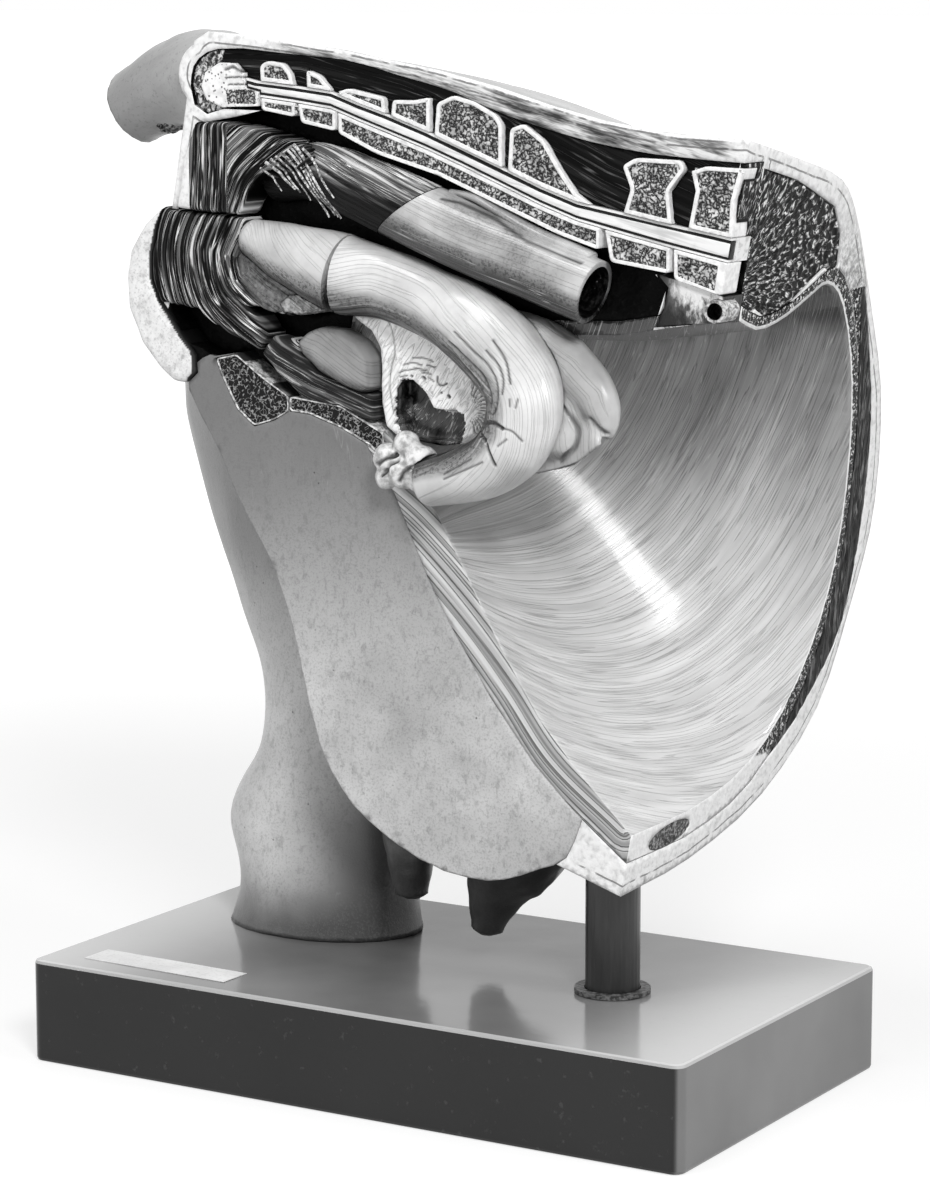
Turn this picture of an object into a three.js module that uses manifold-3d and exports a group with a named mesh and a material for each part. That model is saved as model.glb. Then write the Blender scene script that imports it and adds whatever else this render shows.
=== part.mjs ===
// Classroom model of the left half of a cow's pelvis, about a third of life size, on a lacquered block.
// The half is cut open on the midline, which faces -Y, and across the loin at the head end, +X.
// Millimetres, +Z up. The origin is the centre of the block's underside.
import * as THREE from "three";
import { mergeVertices } from "three/addons/utils/BufferGeometryUtils.js";
import Module from "manifold-3d";

const wasm = await Module();
wasm.setup();

// Gap between neighbouring pieces, and how far a cutter runs past what it cuts
const clearance = 0.3;
const overrun = 40;

// The block, its felt pads and the fixings under it
const base = { length: 247, width: 140, height: 35, cornerRadius: 4, edgeRadius: 1.2 };
const pad = { diameter: 18, thickness: 2, inset: 20 };
const rod = { x: 64, y: -5, diameter: 18, rise: 50, tenonDiameter: 10, tenonEnd: 5 };
const collar = { width: 3.2, height: 1.4 };
const rodWell = { diameter: 30, depth: 16 };
const rodWasher = { diameter: 24, thickness: 1.6 };
const rodNut = { acrossFlats: 17, height: 8 };
const legScrew = { spacing: 34, diameter: 5, headDiameter: 10, headHeight: 3.5, length: 46 };
const legWell = { diameter: 13, depth: 8 };

// The two cuts: the midline plane, and the loin cut square to the leaning trunk
const midlineY = -24;
const trunkLean = THREE.MathUtils.degToRad(10);
const loinCut = 69.5;

// Depths behind the midline plane, and how far inlays stand proud of it or lie below it
const backDepth = 13;
const boneDepth = 9;
const boneProud = 0.8;
const muscleSunk = 1.2;
const bedFront = 10;
const bedBack = 30;
const rimInlayDepth = 3;
const wallThickness = 4.5;
const loinMuscleDepth = 10;
const pin = { diameter: 4, length: 18, buried: 8 };

// Trunk stations along its leaning axis: distance, height of the back and of the belly, half width
const trunkStations = [
  [-136, 286, 188, 62],
  [-131, 290, 179, 78],
  [-112, 292, 171, 104],
  [-80, 293.5, 165, 126],
  [-42, 294, 150, 139],
  [-20, 293, 122, 143],
  [0, 291, 98, 145],
  [20, 290, 72, 146],
  [42, 290.5, 54, 146],
  [loinCut + 1, 294, 50, 144],
];

// The trunk's half section at the loin, as shares of its half width and height, back to belly
const trunkProfile = [
  [0, 1], [0.26, 0.97], [0.51, 0.933], [0.6, 0.89], [0.76, 0.766], [0.93, 0.61], [1, 0.437],
  [0.965, 0.32], [0.889, 0.183], [0.667, 0.074], [0.32, 0.015], [0, 0],
];

// Hind leg and thigh, from the foot up: height, centre x and y, half length, half width
const legStations = [
  [0, -66, 24, 36, 27],
  [13, -65, 25, 33.5, 26],
  [25, -67, 26, 34.5, 26],
  [36, -69, 26.5, 36, 25],
  [50, -66, 27, 33.5, 24],
  [60, -62, 28, 31, 24],
  [75, -57, 31, 34.5, 26.5],
  [91, -52, 36, 45, 32],
  [106, -46, 41, 60, 39],
  [124, -40, 46, 76, 46],
  [142, -34, 50, 92, 52],
  [161, -30, 52, 102.5, 57],
  [185, -28, 52, 109, 61],
  [225, -25, 50, 104, 60],
  [250, -20, 40, 84, 44],
];

// The abdominal cavity, stations as for the trunk with the belly wall's thickness, and its half section
const cavityStations = [
  [-62, 206, 192, 16, 8],
  [-52, 209, 184, 36, 10],
  [-35, 212, 171, 54, 14],
  [-18, 215, 154, 70, 21],
  [-7, 217, 141, 80, 21],
  [12, 220, 118, 94, 17.5],
  [31, 224, 98, 105, 14.2],
  [48, 230, 85, 113, 12.2],
  [loinCut + 1, 238, 70, 119, 9],
];
const cavityProfile = [
  [0, 1], [0.09, 1], [0.24, 0.97], [0.39, 0.985], [0.53, 1.02], [0.62, 1.04], [0.72, 1.01],
  [0.86, 0.88], [0.95, 0.72], [1, 0.5], [0.975, 0.34], [0.87, 0.19], [0.68, 0.07], [0.4, 0.012], [0, 0],
];

const twoD = (points) => points.map(([a, b]) => new THREE.Vector2(a, b));

// Points along a smooth line through a few hand-placed ones
function smooth(points, count, closed = false) {
  const knots = points.map(([a, b]) => new THREE.Vector3(a, b, 0));
  const curve = new THREE.CatmullRomCurve3(knots, closed, "centripetal");
  const line = curve.getPoints(count).map((p) => [p.x, p.y]);
  if (closed) line.pop();
  return line;
}

// A closed outline moved outwards by a distance
function grow(points, distance) {
  const outline = twoD(points);
  const turn = THREE.ShapeUtils.isClockWise(outline) ? -1 : 1;
  return outline.map((point, i) => {
    const before = outline[(i + outline.length - 1) % outline.length];
    const after = outline[(i + 1) % outline.length];
    const inward = point.clone().sub(before).normalize();
    const onward = after.clone().sub(point).normalize();
    const between = new THREE.Vector2(inward.y + onward.y, -inward.x - onward.x);
    const normal = between.multiplyScalar(turn).normalize();
    const square = new THREE.Vector2(onward.y, -onward.x).multiplyScalar(turn);
    const reach = distance / Math.max(0.5, normal.dot(square));
    return [point.x + normal.x * reach, point.y + normal.y * reach];
  });
}

// A closed surface made a solid that can be joined and cut
function solid(geometry) {
  const bare = new THREE.BufferGeometry();
  bare.setAttribute("position", geometry.getAttribute("position"));
  bare.setIndex(geometry.getIndex());
  const merged = mergeVertices(bare, 1e-4);
  return new wasm.Manifold(new wasm.Mesh({
    numProp: 3,
    vertProperties: new Float32Array(merged.getAttribute("position").array),
    triVerts: new Uint32Array(merged.getIndex().array),
  }));
}

// A plate whose outline is drawn on the midline plane, from one depth behind it to another
function plate(outline, front, back, rounding = 0) {
  const shape = new THREE.Shape(twoD(outline));
  const geometry = new THREE.ExtrudeGeometry(shape, {
    depth: back - front - 2 * rounding,
    bevelEnabled: rounding > 0,
    bevelThickness: rounding,
    bevelSize: rounding,
    bevelOffset: -rounding,
    bevelSegments: 2,
  });
  geometry.rotateX(Math.PI / 2);
  geometry.translate(0, midlineY + back - rounding, 0);
  return solid(geometry);
}

// A pocket for a plate, open towards the viewer of the midline cut
function pocket(outline, back, room = clearance) {
  return plate(grow(outline, room), -overrun, back + room);
}

// A point given along, across and up the leaning trunk; across is counted from the midline
function onTrunk(along, across, up) {
  const cos = Math.cos(trunkLean);
  const sin = Math.sin(trunkLean);
  return new THREE.Vector3(along * cos + up * sin, midlineY + across, -along * sin + up * cos);
}

// Skins a row of closed loops that have equal counts, with a flat cap drawn from cap at each end
function loft(loops, cap) {
  const count = loops[0].length;
  const positions = loops.flat().flatMap((p) => [p.x, p.y, p.z]);
  const faces = [];
  for (let ring = 0; ring + 1 < loops.length; ring++) {
    for (let i = 0; i < count; i++) {
      const a = ring * count + i;
      const b = ring * count + (i + 1) % count;
      faces.push(a, b, b + count, a, b + count, a + count);
    }
  }
  const last = (loops.length - 1) * count;
  const outline = twoD(cap);
  const clockwise = THREE.ShapeUtils.isClockWise(outline);
  for (const corners of THREE.ShapeUtils.triangulateShape(outline, [])) {
    const [a, b, c] = clockwise ? [...corners].reverse() : corners;
    faces.push(c, b, a, last + a, last + b, last + c);
  }
  const geometry = new THREE.BufferGeometry();
  geometry.setAttribute("position", new THREE.Float32BufferAttribute(positions, 3));
  geometry.setIndex(faces);
  const made = solid(geometry);
  return made.volume() > 0 ? made : solid(turnedInsideOut(geometry));
}

function turnedInsideOut(geometry) {
  const faces = Array.from(geometry.getIndex().array);
  for (let i = 0; i < faces.length; i += 3) {
    [faces[i + 1], faces[i + 2]] = [faces[i + 2], faces[i + 1]];
  }
  return geometry.clone().setIndex(faces);
}

// A hollow or solid half body: the profile set at each station. Swell thickens its side, roof and rear
// end, adds a share of each station's belly wall under it, and pushes its midline side out
function halfBody(stations, profile, detail, swell = { wall: 0, belly: 0, room: 0, front: 0 }) {
  const section = smooth(profile, detail);
  const side = swell.wall + swell.room;
  const rows = stations.map((row) => [...row]);
  rows[0][0] -= side;
  const loops = rows.map(([along, top, bottom, width, belly = 0]) => section.map(([out, high]) => {
    const low = bottom - belly * swell.belly - swell.room;
    const across = out > 0 ? out * (width + side) : -swell.front;
    return onTrunk(along, across, low + high * (top + side - low));
  }));
  return loft(loops, section);
}

// A round piece swept through stations [x, y, z, half height, half depth]; room grows it all round
function limb(stations, { sides = 16, steps = 24, room = 0, roundStart = 0, roundEnd = 0 } = {}) {
  const line = new THREE.CatmullRomCurve3(stations.map(([x, y, z]) => new THREE.Vector3(x, y, z)));
  const size = new THREE.CatmullRomCurve3(stations.map((s) => new THREE.Vector3(s[3], s[4], 0)));
  const loops = [];
  const ring = (centre, tangent, across, deep) => {
    const up = new THREE.Vector3().crossVectors(tangent, new THREE.Vector3(0, 1, 0)).normalize();
    const out = new THREE.Vector3().crossVectors(up, tangent).normalize();
    loops.push(Array.from({ length: sides }, (_, i) => {
      const angle = i / sides * 2 * Math.PI;
      return centre.clone()
        .addScaledVector(up, across * Math.cos(angle))
        .addScaledVector(out, deep * Math.sin(angle));
    }));
  };
  const end = (t, length, away) => {
    const tangent = line.getTangent(t);
    const radii = size.getPoint(t);
    const turns = length > 0 ? [0.25, 0.6, 0.9] : [];
    const made = turns.map((share) => {
      const angle = share * Math.PI / 2;
      const centre = line.getPoint(t).addScaledVector(tangent, away * (room + length * Math.sin(angle)));
      const shrink = Math.cos(angle);
      return [centre, tangent, (radii.x + room) * shrink, (radii.y + room) * shrink];
    });
    const flat = line.getPoint(t).addScaledVector(tangent, away * room);
    return [[flat, tangent, radii.x + room, radii.y + room], ...made];
  };
  for (const row of end(0, roundStart, -1).reverse()) ring(...row);
  for (let i = 1; i < steps; i++) {
    const t = i / steps;
    const radii = size.getPoint(t);
    ring(line.getPoint(t), line.getTangent(t), radii.x + room, radii.y + room);
  }
  for (const row of end(1, roundEnd, 1)) ring(...row);
  const cap = Array.from({ length: sides }, (_, i) => {
    const angle = i / sides * 2 * Math.PI;
    return [Math.cos(angle), Math.sin(angle)];
  });
  return loft(loops, cap);
}

// A plate whose outline [across, up] is drawn on the loin cut, running back into the trunk
function rimPlate(outline, front, back) {
  const near = outline.map(([across, up]) => onTrunk(loinCut - front, across - midlineY, up));
  const far = outline.map(([across, up]) => onTrunk(loinCut - back, across - midlineY, up));
  return loft([near, far], outline);
}

function rimPocket(outline, back) {
  return rimPlate(grow(outline, clearance), -overrun, back + clearance);
}

// An upright round solid, from one height to another
function drum(x, y, diameter, bottom, top, sides = 32) {
  const geometry = new THREE.CylinderGeometry(diameter / 2, diameter / 2, top - bottom, sides);
  geometry.rotateX(Math.PI / 2);
  geometry.translate(x, y, (bottom + top) / 2);
  return solid(geometry);
}

// A round solid lying along Y, between two depths behind the midline
function dowel(x, z, diameter, front, back) {
  const geometry = new THREE.CylinderGeometry(diameter / 2, diameter / 2, back - front, 12);
  geometry.translate(x, midlineY + (front + back) / 2, z);
  return solid(geometry);
}

function ball(x, y, z, radius, sides = 10) {
  return solid(new THREE.SphereGeometry(radius, sides, sides / 2 + 2).translate(x, y, z));
}

const join = (...solids) => solids.reduce((all, one) => all.add(one));
const cut = (whole, ...tools) => tools.reduce((left, tool) => left.subtract(tool), whole);

// Everything ahead of the loin cut
function aheadOfLoin() {
  const reach = 400;
  const square = [[-reach, -reach], [reach, -reach], [reach, reach], [-reach, reach]];
  return rimPlate(square, -reach, 0);
}

const model = new THREE.Group();
const half = new THREE.Group();
half.position.z = base.height;
model.add(half);

function add(group, name, made, colour, roughness = 0.45, metalness = 0) {
  const { vertProperties, triVerts } = made.getMesh();
  const geometry = new THREE.BufferGeometry();
  geometry.setAttribute("position", new THREE.BufferAttribute(new Float32Array(vertProperties), 3));
  geometry.setIndex(new THREE.BufferAttribute(new Uint32Array(triVerts), 1));
  geometry.computeVertexNormals();
  const material = new THREE.MeshStandardMaterial({ color: colour, roughness, metalness });
  const mesh = new THREE.Mesh(geometry, material);
  mesh.name = name;
  group.add(mesh);
}

// The block: a rounded slab with wells under it for the rod's nut, the leg screws and the felt pads
const padPlaces = [-1, 1].flatMap((side) => [-1, 1].map((end) => [
  end * (base.length / 2 - pad.inset),
  side * (base.width / 2 - pad.inset),
]));
const foot = { x: legStations[0][1], y: legStations[0][2] };
const screwPlaces = [-1, 1].map((side) => [foot.x + side * legScrew.spacing / 2, foot.y]);

function makeBlock() {
  const { length, width, height, cornerRadius, edgeRadius } = base;
  const shape = new THREE.Shape();
  const x = length / 2;
  const y = width / 2;
  shape.moveTo(-x + cornerRadius, -y);
  shape.absarc(x - cornerRadius, -y + cornerRadius, cornerRadius, -Math.PI / 2, 0);
  shape.absarc(x - cornerRadius, y - cornerRadius, cornerRadius, 0, Math.PI / 2);
  shape.absarc(-x + cornerRadius, y - cornerRadius, cornerRadius, Math.PI / 2, Math.PI);
  shape.absarc(-x + cornerRadius, -y + cornerRadius, cornerRadius, Math.PI, Math.PI * 1.5);
  const geometry = new THREE.ExtrudeGeometry(shape, {
    depth: height - 2 * edgeRadius,
    curveSegments: 8,
    bevelThickness: edgeRadius,
    bevelSize: edgeRadius,
    bevelOffset: -edgeRadius,
    bevelSegments: 2,
  });
  geometry.translate(0, 0, edgeRadius);
  const slack = 2 * clearance;
  return cut(
    solid(geometry),
    drum(rod.x, rod.y, rodWell.diameter, -1, rodWell.depth),
    drum(rod.x, rod.y, rod.tenonDiameter + slack, 0, height + 1),
    ...screwPlaces.map(([sx, sy]) => drum(sx, sy, legWell.diameter, -1, legWell.depth, 16)),
    ...screwPlaces.map(([sx, sy]) => drum(sx, sy, legScrew.diameter + slack, 0, height + 1, 16)),
    ...padPlaces.map(([px, py]) => drum(px, py, pad.diameter + slack, -1, pad.thickness + clearance, 24)),
  );
}

// The rod turned from one bar: a shoulder on the block and a tenon down to the nut
function makeRod() {
  const thick = rod.diameter / 2;
  const thin = rod.tenonDiameter / 2;
  const chamfer = 1;
  const shoulder = base.height + clearance;
  const top = base.height + rod.rise;
  const profile = [
    [0, rod.tenonEnd], [thin - chamfer, rod.tenonEnd], [thin, rod.tenonEnd + chamfer], [thin, shoulder],
    [thick, shoulder], [thick, top - chamfer], [thick - chamfer, top], [0, top],
  ];
  const geometry = new THREE.LatheGeometry(twoD(profile), 32);
  return solid(geometry.rotateX(Math.PI / 2).translate(rod.x, rod.y, 0));
}

function makeNut() {
  const across = rodNut.acrossFlats / Math.cos(Math.PI / 6);
  const top = rodWell.depth - rodWasher.thickness - 2 * clearance;
  const nut = drum(rod.x, rod.y, across, top - rodNut.height, top, 6);
  return nut.subtract(drum(rod.x, rod.y, rod.tenonDiameter + 2 * clearance, 0, rodWell.depth, 24));
}

function makeRing(outer, inner, bottom, height) {
  const hole = drum(rod.x, rod.y, inner, bottom - 1, bottom + height + 1);
  return drum(rod.x, rod.y, outer, bottom, bottom + height).subtract(hole);
}

function makeLegScrew([x, y]) {
  const top = legWell.depth - clearance;
  const head = drum(x, y, legScrew.headDiameter, top - legScrew.headHeight, top, 16);
  return join(head, drum(x, y, legScrew.diameter, top - 1, top - legScrew.headHeight + legScrew.length, 12));
}

// Spine outlines on the midline plane
const skinUnderside = [
  [-86, 290.5], [-85, 296.5], [-80.5, 301], [-72, 303], [-43, 301], [-24, 299.5], [-5, 295],
  [14, 290.5], [32, 284], [50, 279], [68, 275], [90, 272],
  [125, 270],
];
// The cord's middle line with its height at each place, and the canal's band above and below it
const cordStations = [
  [-68, 291.8, 3], [-60, 290, 3], [-45, 288.5, 3.2], [-31, 286.8, 3.4], [-20, 283, 3.5],
  [-10, 279.9, 3.7], [5, 274.8, 3.6], [18, 269.9, 3.5], [32, 264.4, 3.6], [47, 258.4, 3.6],
  [60, 254, 3.7], [75, 251, 4.4], [90, 248, 4.8], [105, 245.3, 5.4], [125, 241.6, 5.8],
];
const canalBand = 1.3;
// Processes and vertebrae are drawn into the canal, which is then cut out of them
const processes = [
  [[-57.5, 290], [-57.8, 297.5], [-55, 299], [-49, 298.2], [-46, 295], [-44.5, 289]],
  [[-39.5, 288], [-39.8, 296.3], [-35, 294.5], [-31, 290.5], [-29.8, 286]],
  [[-25.5, 284], [-28, 289.3], [-24, 290.6], [-10.5, 288], [-9.4, 279]],
  [[-8, 279], [-7, 287.2], [1, 287.2], [6.6, 288.2], [6.6, 274.5]],
  [[8.4, 274], [9.5, 286.5], [15.5, 289], [23, 287.2], [31, 283.2], [33.2, 280], [33.2, 264]],
  [[35.4, 263], [36.4, 279], [41, 280.6], [48.5, 275.5], [54.5, 266.5], [60, 259.5], [67, 255], [64, 252]],
  [
    [76, 251], [79.5, 261.5], [76.5, 268.5], [81, 271], [96.5, 270.6], [98, 268], [92.4, 261],
    [94, 248],
  ],
  [[99, 247], [102, 261.5], [100.5, 267.5], [105.5, 269], [118, 268.6], [115, 258.5], [114.4, 245]],
];
const vertebrae = {
  tail_vertebra_1: [
    [-58.6, 289], [-63.5, 290], [-64.5, 295], [-68, 298], [-74, 298.2], [-79.5, 295],
    [-81.2, 290.5], [-79, 286], [-73, 283.8], [-58.8, 284.4],
  ],
  tail_vertebra_2: [[-57.4, 290.5], [-44.8, 288.5], [-44.6, 281.2], [-57.4, 283.2]],
  tail_vertebra_3: [[-43.6, 288], [-29, 286], [-29, 277], [-42, 279.4]],
  sacrum: [
    [-27.8, 286], [-5, 278], [10, 272.5], [32, 264], [54, 256], [68.4, 251.5], [68.2, 242.4],
    [54, 246.6], [25, 258], [10, 263.8], [-13, 270], [-27.6, 276.3],
  ],
  lumbar_vertebra_1: [[70, 251], [93, 247], [93, 236], [72.5, 238.8]],
  lumbar_vertebra_2: [[94.6, 246.5], [125, 241], [125, 227], [112.5, 229.5], [94.8, 234.3]],
};

// The flat band of the spine from the skin down to the vertebrae's undersides
const backOutline = [
  ...smooth(skinUnderside, 22), [125, 226.5], [112.5, 229.2], [94.8, 234], [72.5, 238.5], [68, 242],
  [54, 246.3], [25, 257.7], [10, 263.5], [-13, 269.7], [-28, 276.2], [-42, 279], [-57.5, 282.9],
  [-73, 283.2],
  [-79.5, 281.4], [-84.5, 284.3],
];
const besideCord = (side, room) => cordStations.map(([x, z, height]) => [x, z + side * (height / 2 + room)]);
const bandAlongCord = (room) => [...besideCord(1, room), ...besideCord(-1, room).reverse()];
const muscleOutline = [
  ...smooth(skinUnderside, 22), ...besideCord(1, canalBand).reverse(),
  [-70, 288], [-72, 283.5], [-79.5, 281.4], [-84.5, 284.3],
];

function addSpine(ahead) {
  const bone = 0xe6e4df;
  const canalOutline = bandAlongCord(canalBand);
  const canalRoom = pocket(canalOutline, backDepth, 0);
  const processCuts = processes.map((outline) => pocket(outline, boneDepth));
  const vertebraCuts = Object.values(vertebrae).map((outline) => pocket(outline, boneDepth));
  const firstCut = vertebraCuts[0];
  const inset = (outline) => grow(outline, -clearance);
  const muscle = plate(inset(muscleOutline), muscleSunk, backDepth - clearance);
  add(half, "back_muscle", cut(muscle, ...processCuts, ...vertebraCuts, ahead), 0x262524, 0.6);
  const canal = plate(inset(canalOutline), 0, backDepth - clearance);
  add(half, "spinal_canal", cut(canal, pocket(bandAlongCord(0), 3), firstCut, ahead), 0xd9d7d2, 0.5);
  const cord = plate(bandAlongCord(0), -0.3, 3);
  add(half, "spinal_cord", cut(cord, firstCut, ahead), 0xf0efec, 0.4);
  const sawnBone = (outline) => cut(plate(outline, -boneProud, boneDepth), ahead);
  for (const [name, outline] of Object.entries(vertebrae)) {
    const endsCanal = name === "tail_vertebra_1";
    const sawn = sawnBone(outline);
    add(half, name, endsCanal ? sawn : cut(sawn, canalRoom), bone, 0.55);
  }
  processes.forEach((outline, i) => {
    add(half, `spine_process_${i + 1}`, cut(sawnBone(outline), canalRoom), bone, 0.55);
  });
}

// Organs: the rectum, with its fixed root and the part that lifts out, split by a slanting seam
const rectumLine = [
  [-58, 9, 260, 7, 7], [-41, 6, 263.3, 9.5, 9], [-20, 2, 258.5, 10.5, 10], [2, 0, 251.2, 11, 10.8],
  [23, 0, 243.5, 11, 10.8], [45, 0, 236, 10.6, 10.4], [66, 0, 229, 10.4, 10.2],
].map(([x, y, z, high, deep]) => [x, midlineY + y, z, high, deep]);
const rectumSeam = { low: [-14, 243], high: [10, 259.5] };
const rectumWall = 2.2;
const rectumBoreStart = 4;

// Everything on the head side of the seam, moved towards the tail by some room
function aheadOfSeam(room) {
  const [x0, z0] = rectumSeam.low;
  const [x1, z1] = rectumSeam.high;
  const along = new THREE.Vector2(x1 - x0, z1 - z0).normalize();
  const side = new THREE.Vector2(along.y, -along.x);
  const corner = (far, out) => [x0 + along.x * far + side.x * out, z0 + along.y * far + side.y * out];
  const reach = 200;
  const square = [corner(-reach, -room), corner(reach, -room), corner(reach, reach), corner(-reach, reach)];
  return plate(square, -overrun, overrun);
}

const genital = {
  labium: [
    [-97, 251], [-105, 244.5], [-111, 236], [-113, 227], [-112, 216], [-107, 205], [-100, 197],
    [-94, 192.5],
    [-89, 192], [-84.5, 196], [-85, 202], [-92, 210.5], [-98, 218.5], [-101.5, 226], [-101.5, 235],
    [-99.5, 243],
  ],
  vestibule: [
    [-96.5, 250], [-81, 248.8], [-64.5, 248], [-63, 242], [-60, 236], [-53, 230], [-43, 225], [-34, 221.5],
    [-33.5, 218.5], [-44, 217], [-53, 217.4], [-64, 220], [-54.6, 210.6], [-58.6, 204.8], [-67, 208.5],
    [-77, 213], [-83, 217.5], [-91, 218.4], [-97.6, 219.5], [-101, 226], [-101, 235], [-99, 243],
  ],
};
const vaginaLine = [
  [-61, 241.5, 6.5, 6], [-50, 237.7, 9.6, 9], [-38.5, 234.3, 11.6, 10.5], [-27.2, 231.3, 13, 11.5],
].map(([x, z, high, deep]) => [x, midlineY, z, high, deep]);

// The womb's body with the near horn, which curls forward, down and back to the ovary
const uterusLine = [
  [-25.4, 0, 230.8, 12.9, 11.5], [-9, 0, 228.3, 11.2, 11], [6, 0, 223.5, 11, 11],
  [21, -1, 217.5, 12.3, 12],
  [36, -3, 208, 13, 12.5], [45, -6, 196, 12.3, 12], [44.5, -9, 184, 11.6, 11.5],
  [37.5, -10, 175.5, 10.2, 10.5],
  [25.5, -9, 170.3, 9, 9.2], [11, -8, 166.8, 8, 8.2],
].map(([x, y, z, high, deep]) => [x, midlineY + y, z, high, deep]);
const farHornLine = [
  [26, 5, 214, 9.5, 9.5], [42, 7, 209.5, 10.6, 10.5], [52.5, 9, 203.5, 9.2, 10], [59.3, 10.5, 197, 7.8, 9],
  [63.2, 11, 190.5, 6.2, 7.5], [65, 11, 185, 3.8, 5], [65.8, 11, 181.5, 1.2, 1.6],
].map(([x, y, z, high, deep]) => [x, midlineY + y, z, high, deep]);
const hornLobeLine = [[55, 7, 196, 4, 5], [53.5, 6, 188, 5.6, 6], [51, 5, 180.5, 5.8, 6]]
  .map(([x, y, z, high, deep]) => [x, midlineY + y, z, high, deep]);
const hornMembrane = [[41, 169], [55.6, 173], [66, 180.5], [63, 187], [55, 190], [46, 186], [41, 177]];
const ligamentOutline = [
  [-24, 217.3], [-17, 213.3], [-13.4, 207], [-13.3, 199], [-13.2, 190], [-11.5, 182], [-5, 178.5],
  [9, 177],
  [16, 178], [21, 181], [29, 184], [34, 190], [32, 197], [22, 205], [10, 213], [-1, 217.5], [-12, 222],
];
const ligamentHollow = [
  [-6, 197], [-1, 198], [4, 194], [7, 189], [16, 189], [18.5, 184], [15.5, 178.8], [3, 178.8], [-3, 180],
  [-6, 187],
];
const ovaryLumps = [
  [8, 173, 5.8], [1.5, 169.5, 6], [-4.5, 173.5, 5.2], [2.5, 178.5, 4.6], [-5, 167, 4.2], [8, 166.5, 4.4],
];
const ovaryDepth = -8;

const bladderOutline = [
  [-43.5, 208.5], [-40, 211.5], [-35, 213.3], [-27, 212.8], [-20, 209.5], [-15.5, 204], [-15, 194],
  [-18, 192.6],
  [-25, 194.5], [-35, 199], [-41.5, 204],
];
const urethraOutline = [
  [-54.4, 209.6], [-45, 208.5], [-40, 211], [-28, 212], [-15.5, 203], [-15.5, 183.5], [-28, 185.5],
  [-44, 190.5],
  [-53, 198], [-58.4, 203.6],
];

// The pelvic bed behind the organs, and the bones of its floor
const bedOutline = [
  [-80, 278.5], [-68, 280.5], [-57.5, 282.8], [-42, 278.9], [-28, 276.1], [-13, 269.6], [10, 263.4],
  [25, 257.6],
  [54, 246.2], [68, 241.9], [72.5, 238.4], [87, 235.8], [91.5, 231.5], [90, 227], [87, 218.5], [64, 214],
  [32, 206], [0, 190], [-12, 180.5], [-28, 188.6], [-48, 190.6], [-59, 196.6], [-69, 203.6], [-78, 202],
  [-88, 206], [-95, 216], [-96, 236], [-91, 250.5], [-86.5, 267],
];
const pubicBones = {
  pubic_bone_rear: [
    [-77, 201], [-75, 196], [-68.5, 184.5], [-62, 179.5], [-54, 182], [-48.5, 185], [-48.4, 190],
    [-59, 196],
    [-69, 202.8],
  ],
  pubic_bone_front: [
    [-47.8, 190], [-47.8, 185.2], [-40, 184.8], [-28, 181], [-17, 176], [-11.5, 171.5],
    [-11.5, 180], [-28, 188],
  ],
};
const psoasOutline = [
  [88.3, 235.3], [94.8, 233.85], [112, 229.1], [125, 226.3], [125, 221.5], [103, 221], [88, 219.4],
  [90.8, 226],
  [92, 231.5],
];
const sphincterOutline = [
  [-82, 278.5], [-70, 279], [-58, 277], [-46, 274], [-36.5, 271], [-34, 266], [-33.5, 260], [-38, 261.5],
  [-45, 267.5], [-52, 266], [-58, 260], [-62.5, 253], [-64.5, 249.3], [-81, 249.9], [-89.5, 250.6],
  [-86.8, 266],
];
const aorta = { x: 109, z: 225, radius: 3.6, bore: 2.1, length: 9 };

// Pins that seat the four parts that lift out: place on the midline plane
const pins = { rectum: [30, 241], vagina: [-45, 236], uterus: [-6, 228], bladder: [-45, 200] };

function pinSolid([x, z], room = 0) {
  const front = bedFront + 1 - pin.buried;
  return dowel(x, z, pin.diameter + 2 * room, front - room, front + pin.length + room);
}

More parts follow.
